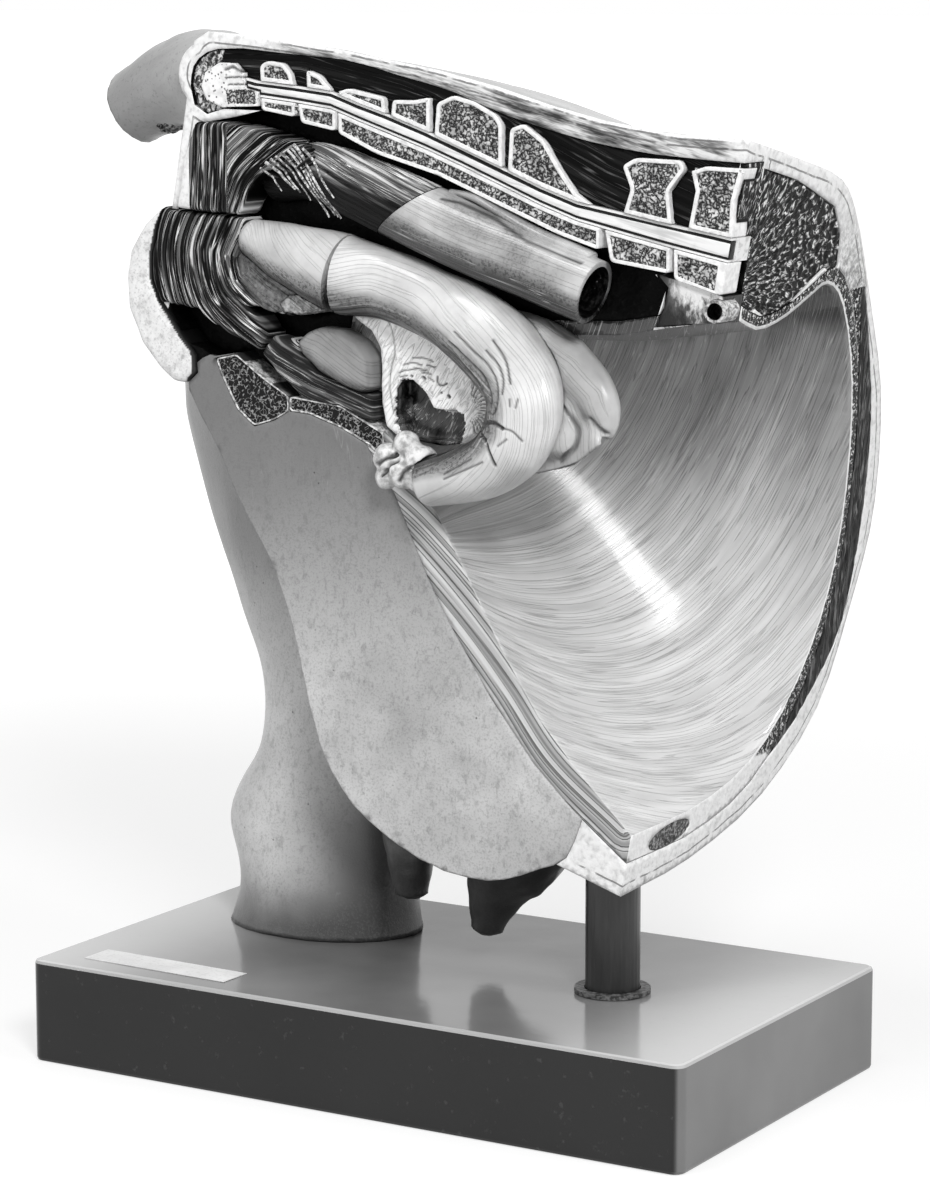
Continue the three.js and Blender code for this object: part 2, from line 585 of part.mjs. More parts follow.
function addOrgans(ahead) {
  const rectum = limb(rectumLine, { sides: 16, steps: 20 });
  const bore = limb(rectumLine.slice(rectumBoreStart - 1).map(([x, y, z, high, deep]) => (
    [x, y, z, high - rectumWall, deep - rectumWall]
  )), { sides: 16, steps: 6, room: clearance, roundStart: 5 });
  const rectumRoom = limb(rectumLine, { sides: 16, steps: 20, room: clearance });
  const sphincter = plate(sphincterOutline, -4.5, bedFront - clearance, 1.6);
  add(half, "anal_sphincter", cut(sphincter, rectumRoom), 0x4c4a48, 0.6);
  add(half, "rectum_root", cut(rectum, aheadOfSeam(clearance)), 0x8a8783, 0.5);
  const freeRectum = rectum.intersect(aheadOfSeam(0));
  add(half, "rectum_tube", cut(freeRectum, bore, pinSolid(pins.rectum, clearance)), 0xb9b6b1, 0.35);
  add(half, "rectum_pin", pinSolid(pins.rectum), 0x9a9a9a, 0.3, 0.9);

  const labiumRoom = pocket(genital.labium, bedFront + 8);
  const vagina = limb(vaginaLine, { sides: 18, steps: 10, roundStart: 5 });
  const vaginaRoom = limb(vaginaLine, { sides: 18, steps: 10, roundStart: 5, room: clearance });
  add(half, "labium", plate(genital.labium, -1.5, bedFront + 4, 2), 0xdcdad6, 0.6);
  const vestibule = plate(genital.vestibule, -2, bedFront - clearance, 1.2);
  add(half, "vestibule_muscle", cut(vestibule, labiumRoom, vaginaRoom), 0x55524f, 0.55);
  add(half, "vagina", cut(vagina, pinSolid(pins.vagina, clearance)), 0xe4e2de, 0.35);
  add(half, "vagina_pin", pinSolid(pins.vagina), 0x9a9a9a, 0.3, 0.9);

  const womb = limb(uterusLine, { sides: 16, steps: 32, roundEnd: 3 });
  const wombRoom = limb(uterusLine, { sides: 16, steps: 32, roundEnd: 3, room: clearance });
  const farHorn = join(
    limb(farHornLine, { sides: 14, steps: 18 }),
    limb(hornLobeLine, { sides: 12, steps: 4, roundEnd: 5 }),
    plate(hornMembrane, 5, 8, 0.8),
  );
  const lump = ([x, z, r], room) => ball(x, midlineY + ovaryDepth, z, r + room);
  const lumps = (room) => join(...ovaryLumps.map((row) => lump(row, room)));
  const ligament = plate(ligamentOutline, 1, bedFront - clearance, 1.5);
  const hollow = plate(ligamentHollow, -overrun, bedFront - 3);
  add(half, "uterus", cut(womb, pinSolid(pins.uterus, clearance)), 0xe0deda, 0.3);
  add(half, "far_horn", cut(farHorn, wombRoom), 0xd8d6d2, 0.3);
  add(half, "ovary", cut(lumps(0), wombRoom), 0xe6e4e0, 0.35);
  const farHornRoom = limb(farHornLine, { sides: 14, steps: 18, room: clearance });
  add(half, "broad_ligament", cut(ligament, wombRoom, farHornRoom, lumps(clearance), hollow), 0xefeeeb, 0.4);
  add(half, "uterus_pin", pinSolid(pins.uterus), 0x9a9a9a, 0.3, 0.9);

  const bladderRoom = pocket(bladderOutline, bedFront);
  const boneRooms = Object.values(pubicBones).map((outline) => pocket(outline, backDepth));
  const urethra = plate(urethraOutline, -1, bedFront - clearance, 2);
  add(half, "bladder", plate(bladderOutline, -4, bedFront - clearance, 3), 0xa9a6a1, 0.4);
  const urethraRooms = [bladderRoom, ...boneRooms, pinSolid(pins.bladder, clearance)];
  add(half, "urethra", cut(urethra, ...urethraRooms), 0x5e5b58, 0.5);
  add(half, "bladder_pin", pinSolid(pins.bladder), 0x9a9a9a, 0.3, 0.9);

  const troughs = [rectumRoom, vaginaRoom, wombRoom, farHornRoom];
  const pinHoles = Object.values(pins).map((place) => pinSolid(place, clearance));
  const rimRooms = [labiumRoom, pocket(genital.vestibule, bedFront), pocket(sphincterOutline, bedFront)];
  return { troughs, pinHoles, rimRooms, wombRoom, farHornRoom, boneRooms };
}

// The outer casting, the wall of the belly and the muscle inlaid in their cut edges
const loinMuscleOutline = [
  [-9.8, 284.2], [15, 279.5], [46, 269.5], [54, 260], [55.5, 250], [53, 247.5], [46, 250], [38, 246.5],
  [24, 239.5], [9, 236.5], [0, 240], [-8, 236], [-9, 247], [-9.8, 262],
];
const flankStrip = {
  inner: [
    [77, 241], [84, 221], [88, 202], [91.5, 184], [95, 159], [95, 139], [92, 127], [83, 114], [74, 104],
    [62, 94], [48, 82],
  ],
  outer: [
    [47, 72], [60, 76], [82, 88], [93, 98], [103, 109], [110, 122], [111.5, 138], [111, 158],
    [107, 183], [101, 201], [92, 219], [80, 241],
  ],
};
const bellyOval = { across: 3.5, up: 65.6, long: 13.5, tall: 3.6, tilt: 0.08 };

function ovalOutline({ across, up, long, tall, tilt }) {
  const curve = new THREE.EllipseCurve(across, up, long, tall, 0, 2 * Math.PI, false, tilt);
  return curve.getPoints(24).slice(0, -1).map((p) => [p.x, p.y]);
}

// The udder's midline outline, and how it shrinks towards the thigh behind it
const udderOutline = [
  [-88, 190], [-78, 174], [-68, 154], [-54, 132], [-46, 109], [-41, 89], [-36.5, 74], [-32, 66], [-25, 57],
  [-16, 50], [-5, 43.5], [10, 38], [25, 36.3], [36, 38], [47, 42.5], [56, 46.5], [61, 56], [64, 70],
  [46, 92],
  [30, 120], [16, 146], [4, 172], [-9, 190], [-28, 200], [-48, 204], [-66, 206], [-80, 202], [-87, 197],
];
const udderDepth = 54;
const udderCentre = [-6, 118];
const teats = {
  rear_teat: [[-21, 8, 62, 12], [-21.5, 8, 44, 10.4], [-21.3, 8, 31, 8.6], [-21, 8, 21, 6]],
  front_teat: [[21, 8, 50, 25], [17.5, 8, 35, 17], [14, 8, 28, 12.2], [11, 8, 20, 8.8], [9, 8, 12.5, 6]],
};

function makeUdder(room = 0) {
  const outline = smooth(udderOutline, 48, true);
  const [cx, cz] = udderCentre;
  const layers = 7;
  const loops = [];
  for (let i = 0; i <= layers; i++) {
    const angle = i / layers * Math.PI * 0.44;
    const shrink = Math.cos(angle);
    const y = midlineY + Math.sin(angle) * udderDepth + (i > 0 ? room : -room);
    const layer = outline.map(([x, z]) => [cx + (x - cx) * shrink, cz + (z - cz) * shrink]);
    loops.push(grow(layer, room).map(([x, z]) => new THREE.Vector3(x, y, z)));
  }
  return loft(loops, outline);
}

function makeTeat(rows, room = 0) {
  const stations = rows.map(([x, y, z, r]) => [x, y, z, r, r]);
  return limb(stations, { sides: 16, steps: 8, room, roundEnd: 4 });
}

const tailLine = [
  [-74, 16, 290, 15, 14], [-88, 21, 293, 15.6, 15], [-104, 27, 292.3, 15.6, 15],
  [-119, 31, 287.6, 14.6, 14.3],
  [-132, 33, 281.8, 13, 13],
].map(([x, y, z, high, deep]) => [x, midlineY + y, z, high, deep]);
const tailRoot = { x: -80, behind: 2, z: 294.3, radius: 11 };
const tailHollow = [[-124, 31, 283, 6, 7], [-136, 32, 277, 8, 9]]
  .map(([x, y, z, high, deep]) => [x, midlineY + y, z, high, deep]);

// The hind leg and thigh, in level rings
function makeLeg() {
  const line = new THREE.CatmullRomCurve3(legStations.map(([z, x, y]) => new THREE.Vector3(x, y, z)));
  const size = new THREE.CatmullRomCurve3(legStations.map((s) => new THREE.Vector3(s[3], s[4], 0)));
  const sides = 24;
  const levels = 30;
  const loops = [];
  for (let i = 0; i <= levels; i++) {
    const centre = line.getPoint(i / levels);
    const radii = size.getPoint(i / levels);
    loops.push(Array.from({ length: sides }, (_, side) => {
      const angle = side / sides * 2 * Math.PI;
      return new THREE.Vector3(
        centre.x + radii.x * Math.cos(angle), centre.y + radii.y * Math.sin(angle), centre.z + clearance,
      );
    }));
  }
  return loft(loops, Array.from({ length: sides }, (_, side) => {
    const angle = side / sides * 2 * Math.PI;
    return [Math.cos(angle), Math.sin(angle)];
  }));
}

function addBody(ahead, rooms) {
  const skin = 0xbab7b2;
  const trunk = halfBody(trunkStations, trunkProfile, 34);
  const leg = makeLeg();
  const wallSwell = { wall: wallThickness, belly: 1, room: 0, front: 0 };
  const wallOuter = halfBody(cavityStations, cavityProfile, 36, wallSwell);
  const pocketSwell = { ...wallSwell, room: clearance, front: 1 };
  const wallPocket = halfBody(cavityStations, cavityProfile, 36, pocketSwell);
  const hollow = halfBody(cavityStations, cavityProfile, 36, { wall: 0, belly: 0, room: 0, front: 1 });
  const bedPocket = pocket(bedOutline, bedBack);
  const bedMouth = pocket(bedOutline, bedFront - clearance);
  const boneCuts = rooms.boneRooms;
  const psoasCut = pocket(psoasOutline, bedFront + 4);
  const ovalCut = rimPocket(ovalOutline(bellyOval), rimInlayDepth);
  const tailCut = limb(tailLine, { sides: 20, steps: 12, room: clearance });
  const tailHead = ball(tailRoot.x, midlineY + tailRoot.behind, tailRoot.z, tailRoot.radius, 24);
  const rodSocket = drum(rod.x, rod.y, rod.diameter + 2 * clearance, -1, rod.rise + clearance);
  const stripOutline = [...smooth(flankStrip.inner, 20), ...smooth(flankStrip.outer, 20)];
  const midlineSide = plate([[-300, -50], [300, -50], [300, 400], [-300, 400]], -300, 0);
  const screwHoles = screwPlaces.map(([x, y]) => (
    drum(x, y, legScrew.diameter + 2 * clearance, -1, legWell.depth - base.height + legScrew.length, 16)
  ));

  const casting = cut(
    join(trunk, leg, tailHead), midlineSide, wallPocket, bedPocket, pocket(backOutline, backDepth, 0),
    rimPocket(loinMuscleOutline, loinMuscleDepth), rimPocket(stripOutline, rimInlayDepth), psoasCut,
    ...rooms.rimRooms, makeUdder(clearance), tailCut, rodSocket, ...screwHoles, ...boneCuts, ovalCut, ahead,
  );
  add(half, "body_casting", casting, skin, 0.4);

  const wall = cut(
    wallOuter, hollow, bedMouth, rooms.wombRoom, rooms.farHornRoom, psoasCut, ovalCut, ...boneCuts, ahead,
  );
  add(half, "abdominal_wall", wall, 0x9d9a96, 0.2);

  const bed = cut(
    plate(bedOutline, bedFront, bedBack), wallPocket, ...rooms.troughs, ...rooms.pinHoles, ...boneCuts,
    psoasCut, ...rooms.rimRooms,
  );
  add(half, "pelvic_bed", bed, 0x1c1b1a, 0.7);

  const udder = cut(makeUdder(), wallPocket, bedPocket, ...boneCuts, ...rooms.rimRooms);
  add(half, "udder_half", udder, 0xa8a5a0, 0.4);
  for (const [name, rows] of Object.entries(teats)) {
    add(half, name, cut(makeTeat(rows), makeUdder(clearance)), 0x8d8a86, 0.45);
  }
  const backRoom = pocket(backOutline, backDepth);
  const tailCuts = [bedPocket, backRoom, ...rooms.rimRooms, limb(tailHollow, { sides: 12, steps: 3 })];
  add(half, "tail_stump", cut(limb(tailLine, { sides: 20, steps: 12 }), ...tailCuts), 0xa4a19c, 0.45);
  add(half, "flank_muscle", cut(rimPlate(stripOutline, 0, rimInlayDepth), wallPocket), 0x2b2a29, 0.6);
  add(half, "belly_muscle", rimPlate(ovalOutline(bellyOval), 0, rimInlayDepth), 0x3a3836, 0.6);
  const loin = cut(rimPlate(loinMuscleOutline, 0.4, loinMuscleDepth), wallPocket);
  add(half, "loin_muscle", loin, 0x3a3836, 0.65);
  for (const [name, outline] of Object.entries(pubicBones)) {
    add(half, name, plate(outline, 0, backDepth), 0x8f8c88, 0.6);
  }
  const vesselCut = dowel(aorta.x, aorta.z, 2 * (aorta.radius + clearance), -overrun, aorta.length);
  const psoas = cut(plate(psoasOutline, 1, bedFront + 4), ahead, vesselCut);
  add(half, "psoas_muscle", psoas, 0xa09d98, 0.6);
  const stump = dowel(aorta.x, aorta.z, 2 * aorta.radius, -1, aorta.length - clearance);
  add(half, "aorta_stump", stump.subtract(dowel(aorta.x, aorta.z, 2 * aorta.bore, -2, 6)), 0xc9c6c2, 0.4);
}

add(model, "base_board", makeBlock(), 0x8c8c8c, 0.25);
padPlaces.forEach(([x, y], i) => {
  add(model, `felt_pad_${i + 1}`, drum(x, y, pad.diameter, 0, pad.thickness, 24), 0x2f2f2f, 0.95);
});
add(model, "support_rod", makeRod(), 0x1d1d1d, 0.35, 0.4);
const collarInner = rod.diameter + 2 * clearance;
const collarOuter = collarInner + 2 * collar.width;
const collarRing = makeRing(collarOuter, collarInner, base.height + clearance, collar.height);
add(model, "rod_collar", collarRing, 0x777777, 0.5);
const washerBottom = rodWell.depth - clearance - rodWasher.thickness;
const washerHole = rod.tenonDiameter + 2 * clearance;
const washer = makeRing(rodWasher.diameter, washerHole, washerBottom, rodWasher.thickness);
add(model, "rod_washer", washer, 0x999999, 0.3, 0.9);
add(model, "rod_nut", makeNut(), 0x999999, 0.3, 0.9);
screwPlaces.forEach((place, i) => add(model, `leg_screw_${i + 1}`, makeLegScrew(place), 0x999999, 0.3, 0.9));

const ahead = aheadOfLoin();
addSpine(ahead);
const rooms = addOrgans(ahead);
addBody(ahead, rooms);

export default model;
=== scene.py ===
import math

import bmesh
import bpy
import numpy as np
from mathutils import Matrix, Vector, kdtree, noise


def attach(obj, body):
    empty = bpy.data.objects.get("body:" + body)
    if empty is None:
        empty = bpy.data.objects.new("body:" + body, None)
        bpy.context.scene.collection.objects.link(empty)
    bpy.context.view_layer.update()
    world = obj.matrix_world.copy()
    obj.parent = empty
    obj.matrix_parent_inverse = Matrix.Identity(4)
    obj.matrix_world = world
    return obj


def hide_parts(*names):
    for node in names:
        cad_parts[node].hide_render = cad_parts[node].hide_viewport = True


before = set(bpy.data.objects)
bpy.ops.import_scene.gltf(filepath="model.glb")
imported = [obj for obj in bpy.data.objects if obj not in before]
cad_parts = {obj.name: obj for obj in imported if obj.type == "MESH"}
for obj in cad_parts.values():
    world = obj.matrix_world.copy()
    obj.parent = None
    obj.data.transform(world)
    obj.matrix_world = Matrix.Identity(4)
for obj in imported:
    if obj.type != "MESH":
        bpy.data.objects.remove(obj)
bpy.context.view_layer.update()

# Places are written in millimetres as the CAD writes them: heights of the half count from the block's top
MM = 0.001
BLOCK_TOP = 35
MIDLINE = -24
LEAN = math.radians(10)      # the trunk falls towards the loin
LOIN_CUT = 69.5              # along the leaning trunk
AHEAD = Vector((math.cos(LEAN), 0, -math.sin(LEAN)))
SHARP = math.radians(40)     # edges bent further than this stay crisp
SQUARE = 0.97                # how squarely a face looks out of the cut that it lies on
NEAR_CUT = 0.6               # how close to the cut it lies
TRUNK_HUB = (-0.02, 0.15)    # what the belly wall curves round: behind and up the trunk, in metres

LENS = 113.93
EYE = (0.64173, -1.05689, 0.36143)
PITCH = 80.657
TURN = 31.07
AIM = (0, 0, 0.2)
AMBIENT = 0.22
# name, place, width, watts, whether it leaves a gleam on wet surfaces
LAMPS = (
    ("front_right", (1.15, -1.2, 1.3), 0.5, 26, False),
    ("window_right", (1.6, 0.1, 1.0), 0.5, 9, True),
    ("overhead", (-0.1, -0.5, 1.9), 0.6, 7, True),
    ("front_left", (-0.9, -1.4, 0.7), 0.6, 10, False),
)


# ---- View, lamps and floor

def set_view():
    lens = bpy.data.cameras.new("view")
    lens.lens = LENS
    view = bpy.data.objects.new("view", lens)
    view.location = EYE
    view.rotation_euler = (math.radians(PITCH), 0, math.radians(TURN))
    bpy.context.scene.collection.objects.link(view)
    bpy.context.scene.camera = view
    bpy.context.scene.view_settings.view_transform = "Standard"


def add_lamp(name, place, width, watts, gleams):
    lamp = bpy.data.lights.new(name, "AREA")
    lamp.shape = "DISK"
    lamp.size = width
    lamp.energy = watts
    holder = bpy.data.objects.new(name, lamp)
    holder.location = place
    holder.rotation_euler = (Vector(AIM) - Vector(place)).to_track_quat("-Z", "Y").to_euler()
    holder.visible_glossy = gleams
    bpy.context.scene.collection.objects.link(holder)


def seen_directly(tree):
    """1 where the camera, a mirror image or a look through glass meets the white surroundings."""
    path = tree.nodes.new("ShaderNodeLightPath")
    either = number(tree, "MAXIMUM", path.outputs["Is Camera Ray"], path.outputs["Is Glossy Ray"])
    return number(tree, "MAXIMUM", either, path.outputs["Is Transmission Ray"])


def set_surroundings():
    world = bpy.data.worlds.new("studio")
    bpy.context.scene.world = world
    world.use_nodes = True
    tree = world.node_tree
    tree.nodes["Background"].inputs["Color"].default_value = (1, 1, 1, 1)
    strength = number(tree, "MULTIPLY_ADD", seen_directly(tree), 1 - AMBIENT, AMBIENT)
    tree.links.new(strength, tree.nodes["Background"].inputs["Strength"])
    for lamp in LAMPS:
        add_lamp(*lamp)


def lay_floor():
    bm = bmesh.new()
    bmesh.ops.create_grid(bm, x_segments=1, y_segments=1, size=30)
    mesh = bpy.data.meshes.new("floor")
    bm.to_mesh(mesh)
    bm.free()
    floor = bpy.data.objects.new("floor", mesh)
    bpy.context.scene.collection.objects.link(floor)
    material, tree = paint("pale_floor", 0.9)
    surface(material, "Base Color").default_value = (0.4, 0.4, 0.4, 1)
    surface(material, "Emission Color").default_value = (1, 1, 1, 1)
    away = node(tree, "VectorMath", {"operation": "LENGTH"}, Vector=place_on(tree)).outputs["Value"]
    rising = number(tree, "MULTIPLY_ADD", mask(tree, away, 0.3, 1.4), 0.34, 0.62)
    glow = number(tree, "MULTIPLY", seen_directly(tree), rising)
    tree.links.new(glow, surface(material, "Emission Strength"))
    mesh.materials.append(material)


# ---- Paint: patterns that the finishes are made of

def feed(tree, socket, value):
    """Links a pattern to an input, or sets the input to a plain value."""
    if isinstance(value, bpy.types.NodeSocket):
        tree.links.new(value, socket)
    else:
        socket.default_value = value


def node(tree, kind, settings=None, **inputs):
    made = tree.nodes.new("ShaderNode" + kind)
    for key, value in (settings or {}).items():
        setattr(made, key, value)
    for key, value in inputs.items():
        feed(tree, made.inputs[key.replace("_", " ")], value)
    return made


def number(tree, operation, first, second=0.0, third=0.0):
    made = tree.nodes.new("ShaderNodeMath")
    made.operation = operation
    for socket, value in zip(made.inputs, (first, second, third)):
        feed(tree, socket, value)
    return made.outputs[0]


def grey(value):
    """A shade as the eye reads it, 0 black to 1 white, as the linear colour that the shader needs."""
    linear = ((value + 0.055) / 1.055) ** 2.4 if value > 0.04 else value / 12.92
    return (linear, linear, linear, 1)


def place_on(tree, stretch=(1, 1, 1), turn=0.0, flow=False):
    """Coordinates on the piece: its own metres, or its flow map, along and across its fibres."""
    if flow:
        source = node(tree, "UVMap", {"uv_map": "flow"}).outputs["UV"]
    else:
        source = tree.nodes.new("ShaderNodeTexCoord").outputs["Object"]
    if turn:
        turned = (0, turn, 0) if not flow else (0, 0, turn)
        source = node(tree, "Mapping", Vector=source, Rotation=turned).outputs["Vector"]
    return node(tree, "Mapping", Vector=source, Scale=stretch).outputs["Vector"]


def cloud(tree, where, scale, detail=3.0, roughness=0.55, distortion=0.0):
    made = node(tree, "TexNoise", Vector=where, Scale=scale, Detail=detail, Roughness=roughness,
                Distortion=distortion)
    return made.outputs["Fac"]


def cells(tree, where, scale):
    """How far a place is from the nearest of many scattered dots."""
    return node(tree, "TexVoronoi", Vector=where, Scale=scale).outputs["Distance"]


def shades(tree, factor, *stops):
    ramp = tree.nodes.new("ShaderNodeValToRGB")
    tree.links.new(factor, ramp.inputs["Fac"])
    elements = ramp.color_ramp.elements
    while len(elements) < len(stops):
        elements.new(0.5)
    for element, (position, value) in zip(elements, stops):
        element.position = position
        element.color = grey(value)
    return ramp.outputs["Color"]


def lacking(tree, share):
    """1 where a share is 0, and 0 where it is 1."""
    return number(tree, "SUBTRACT", 1.0, share)


def between(tree, factor, low, high, kind="LINEAR"):
    """0 at a low value and 1 at a high one, rising evenly between."""
    made = node(tree, "MapRange", {"interpolation_type": kind}, Value=factor, From_Min=low, From_Max=high)
    return made.outputs["Result"]


def mask(tree, factor, low, high):
    """0 below a low value and 1 above a high one, with a soft step between."""
    return between(tree, factor, low, high, "SMOOTHSTEP")


def over(tree, factor, under, upper):
    """One colour laid over another where the factor is 1."""
    made = tree.nodes.new("ShaderNodeMix")
    made.data_type = "RGBA"
    for name, value in (("Factor_Float", factor), ("A_Color", under), ("B_Color", upper)):
        feed(tree, next(s for s in made.inputs if s.identifier == name), value)
    return next(s for s in made.outputs if s.identifier == "Result_Color")


def marked(tree, attribute):
    """A share that the shaping has stored on the piece."""
    return node(tree, "Attribute", {"attribute_name": attribute}).outputs["Fac"]


def part_of(tree, vector, axis):
    return node(tree, "SeparateXYZ", Vector=vector).outputs[axis]


def facing(tree, axis):
    """How far a surface looks along an axis, from -1 to 1."""
    return part_of(tree, tree.nodes.new("ShaderNodeNewGeometry").outputs["Normal"], axis)


def across_flow(tree):
    return part_of(tree, place_on(tree, flow=True), "Y")


def paint(name, roughness=0.45, coat=0.0, coat_roughness=0.2, metallic=0.0, specular=0.5):
    material = bpy.data.materials.new(name)
    material.use_nodes = True
    for key, value in (("Roughness", roughness), ("Coat Weight", coat), ("Coat Roughness", coat_roughness),
                       ("Metallic", metallic), ("Specular IOR Level", specular)):
        surface(material, key).default_value = value
    return material, material.node_tree


def surface(material, key):
    """One setting of a material's shader."""
    return material.node_tree.nodes["Principled BSDF"].inputs[key]


def colour(material, socket):
    material.node_tree.links.new(socket, surface(material, "Base Color"))


def present_colour(material):
    return surface(material, "Base Color").links[0].from_socket


def relief(material, *heights):
    """Stacks bumps, each a pattern with its depth in metres."""
    tree = material.node_tree
    below = None
    for height, depth in heights:
        bump = node(tree, "Bump", Height=height, Distance=depth)
        if below is not None:
            tree.links.new(below, bump.inputs["Normal"])
        below = bump.outputs["Normal"]
    tree.links.new(below, surface(material, "Normal"))


def inked_and_shaded(tree, under, dark=0.05):
    """Darkens a colour where dark lines have been drawn on the piece, and where shade is painted into hollows
    and turned-away edges.
    """
    return over(tree, marked(tree, "ink_and_shade"), under, grey(dark))


def strokes(tree, where, scale, width, detail=1.0):
    """Thin drawn lines, 1 on a line and 0 beside it."""
    field = cloud(tree, where, scale, detail, 0.5)
    off = number(tree, "ABSOLUTE", number(tree, "SUBTRACT", field, 0.5))
    return lacking(tree, mask(tree, off, 0.0, width))


def on_object(tree, axis):
    return part_of(tree, tree.nodes.new("ShaderNodeTexCoord").outputs["Object"], axis)


def times(tree, *factors):
    made = factors[0]
    for factor in factors[1:]:
        made = number(tree, "MULTIPLY", made, factor)
    return made


def lacquered_block():
    """Grey lacquer: the long faces are darker than the top and the ends, which are painted paler, partly as
    painted light; the top is painted paler near the ends as a painted reflection, and the rounded edges carry
    a painted highlight.
    """
    material, tree = paint("lacquered_block", 0.14, specular=0.4)
    where = place_on(tree)
    broad = cloud(tree, where, 14)
    fine = cloud(tree, where, 420, 2)
    upward = facing(tree, "Z")
    long_face = mask(tree, number(tree, "ABSOLUTE", facing(tree, "Y")), 0.7, 0.95)
    # painted reflection: the top is pale grey towards the ends
    reflection_near_end = times(tree, mask(tree, number(tree, "ABSOLUTE", on_object(tree, "X")), 0.055, 0.13),
                     mask(tree, upward, 0.5, 0.9))
    pale = over(tree, reflection_near_end, shades(tree, broad, (0.3, 0.4), (0.7, 0.48)), grey(0.78))
    dark = shades(tree, broad, (0.3, 0.06), (0.7, 0.1))
    under = over(tree, long_face, pale, dark)
    dust = times(tree, mask(tree, fine, 0.66, 0.78), 0.12)
    # painted highlight: the rounded edges between the sides and the top are painted pale
    edge = times(tree, mask(tree, upward, 0.1, 0.35), lacking(tree, mask(tree, upward, 0.9, 0.985)))
    spotted = over(tree, dust, under, grey(0.5))
    colour(material, over(tree, times(tree, edge, 0.55), spotted, grey(0.85)))
    relief(material, (cloud(tree, where, 20), 0.0003), (fine, 0.00002))
    return material


def blank_label_paint():
    material, tree = paint("blank_label_paint", 0.35, coat=0.3)
    pulp = cloud(tree, place_on(tree), 900, 4)
    stains = cloud(tree, place_on(tree), 60, 2)
    under = shades(tree, stains, (0.35, 0.82), (0.65, 0.9))
    colour(material, over(tree, times(tree, mask(tree, pulp, 0.5, 0.7), 0.3), under, grey(0.6)))
    relief(material, (pulp, 0.00006))
    return material


def grained(name, scale, detail, stops, depth, stretch=(1, 1, 1), **finish):
    """A finish with one fine even grain."""
    material, tree = paint(name, **finish)
    grain = cloud(tree, place_on(tree, stretch), scale, detail)
    colour(material, shades(tree, grain, *stops))
    relief(material, (grain, depth))
    return material


def hide_paint(name, low, high, upper=None, shaded=False):
    """The smooth outer skin: softly mottled and finely speckled, with a few pits; when shaded, with painted
    shadow on the leg under the udder.
    """
    material, tree = paint(name, 0.4, coat=0.2, coat_roughness=0.25)
    where = place_on(tree)
    broad = cloud(tree, where, 22, 4)
    speckle = cloud(tree, where, 1300, 2, 0.7)
    brushed = strokes(tree, place_on(tree, (1, 1, 0.07), turn=0.12), 300, 0.01)
    pits = cells(tree, where, 210)
    under = shades(tree, broad, (0.32, low), (0.68, high))
    if upper:
        raised = number(tree, "MULTIPLY_ADD", broad, 0.06, on_object(tree, "Z"))
        under = over(tree, mask(tree, raised, 0.15, 0.25), under, grey(upper))
    if shaded:
        # a darker strip high on the rump behind the hip, painted shadow on the leg beside and under the
        # udder, and a darker foot
        height = number(tree, "MULTIPLY_ADD", broad, 0.03, on_object(tree, "Z"))
        behind_hip = lacking(tree, mask(tree, on_object(tree, "X"), -0.05, -0.03))
        under = over(tree, times(tree, mask(tree, height, 0.145, 0.19), behind_hip, 0.9), under, grey(0.46))
        low_down = lacking(tree, mask(tree, height, 0.075, 0.135))
        forward = number(tree, "MULTIPLY_ADD", broad, 0.03, on_object(tree, "X"))
        udder_shadow = mask(tree, forward, -0.066, -0.018)
        under = over(tree, times(tree, low_down, udder_shadow, 0.92), under, grey(0.18))
        foot = lacking(tree, mask(tree, height, 0.05, 0.078))
        under = over(tree, times(tree, foot, 0.9), under, grey(0.18))
    freckled = over(tree, times(tree, mask(tree, speckle, 0.5, 0.64), 0.28), under, grey(low * 0.6))
    patchy = mask(tree, cloud(tree, where, 45), 0.5, 0.62)
    scuffs = mask(tree, cloud(tree, place_on(tree, (1, 1, 0.6)), 430, 4, 0.7), 0.5, 0.7)
    freckled = over(tree, times(tree, scuffs, 0.34), freckled, grey(low * 0.55))
    lined = over(tree, times(tree, brushed, patchy, 0.1), freckled, grey(min(high + 0.08, 0.95)))
    pitted = times(tree, lacking(tree, mask(tree, pits, 0.03, 0.09)), patchy)
    colour(material, inked_and_shaded(tree, over(tree, times(tree, pitted, 0.7), lined, grey(0.2)), 0.15))
    relief(material, (broad, 0.0008), (speckle, 0.0001), (pitted, -0.0003))
    return material


def tail_hide_paint():
    """Smooth hide that darkens towards the stump's end."""
    material, tree = paint("tail_hide_paint", 0.4, coat=0.3)
    where = place_on(tree)
    speckle = cloud(tree, where, 700, 3, 0.7)
    brushed = cloud(tree, place_on(tree, (0.15, 1, 1), turn=0.4), 260, 3)
    far = between(tree, on_object(tree, "X"), -0.085, -0.137)
    drift = number(tree, "MULTIPLY_ADD", brushed, 0.5, far)
    under = shades(tree, drift, (0.25, 0.68), (0.7, 0.6), (1.0, 0.54))
    colour(material, over(tree, times(tree, mask(tree, speckle, 0.55, 0.7), 0.4), under, grey(0.3)))
    relief(material, (brushed, 0.0003), (speckle, 0.0001))
    return material


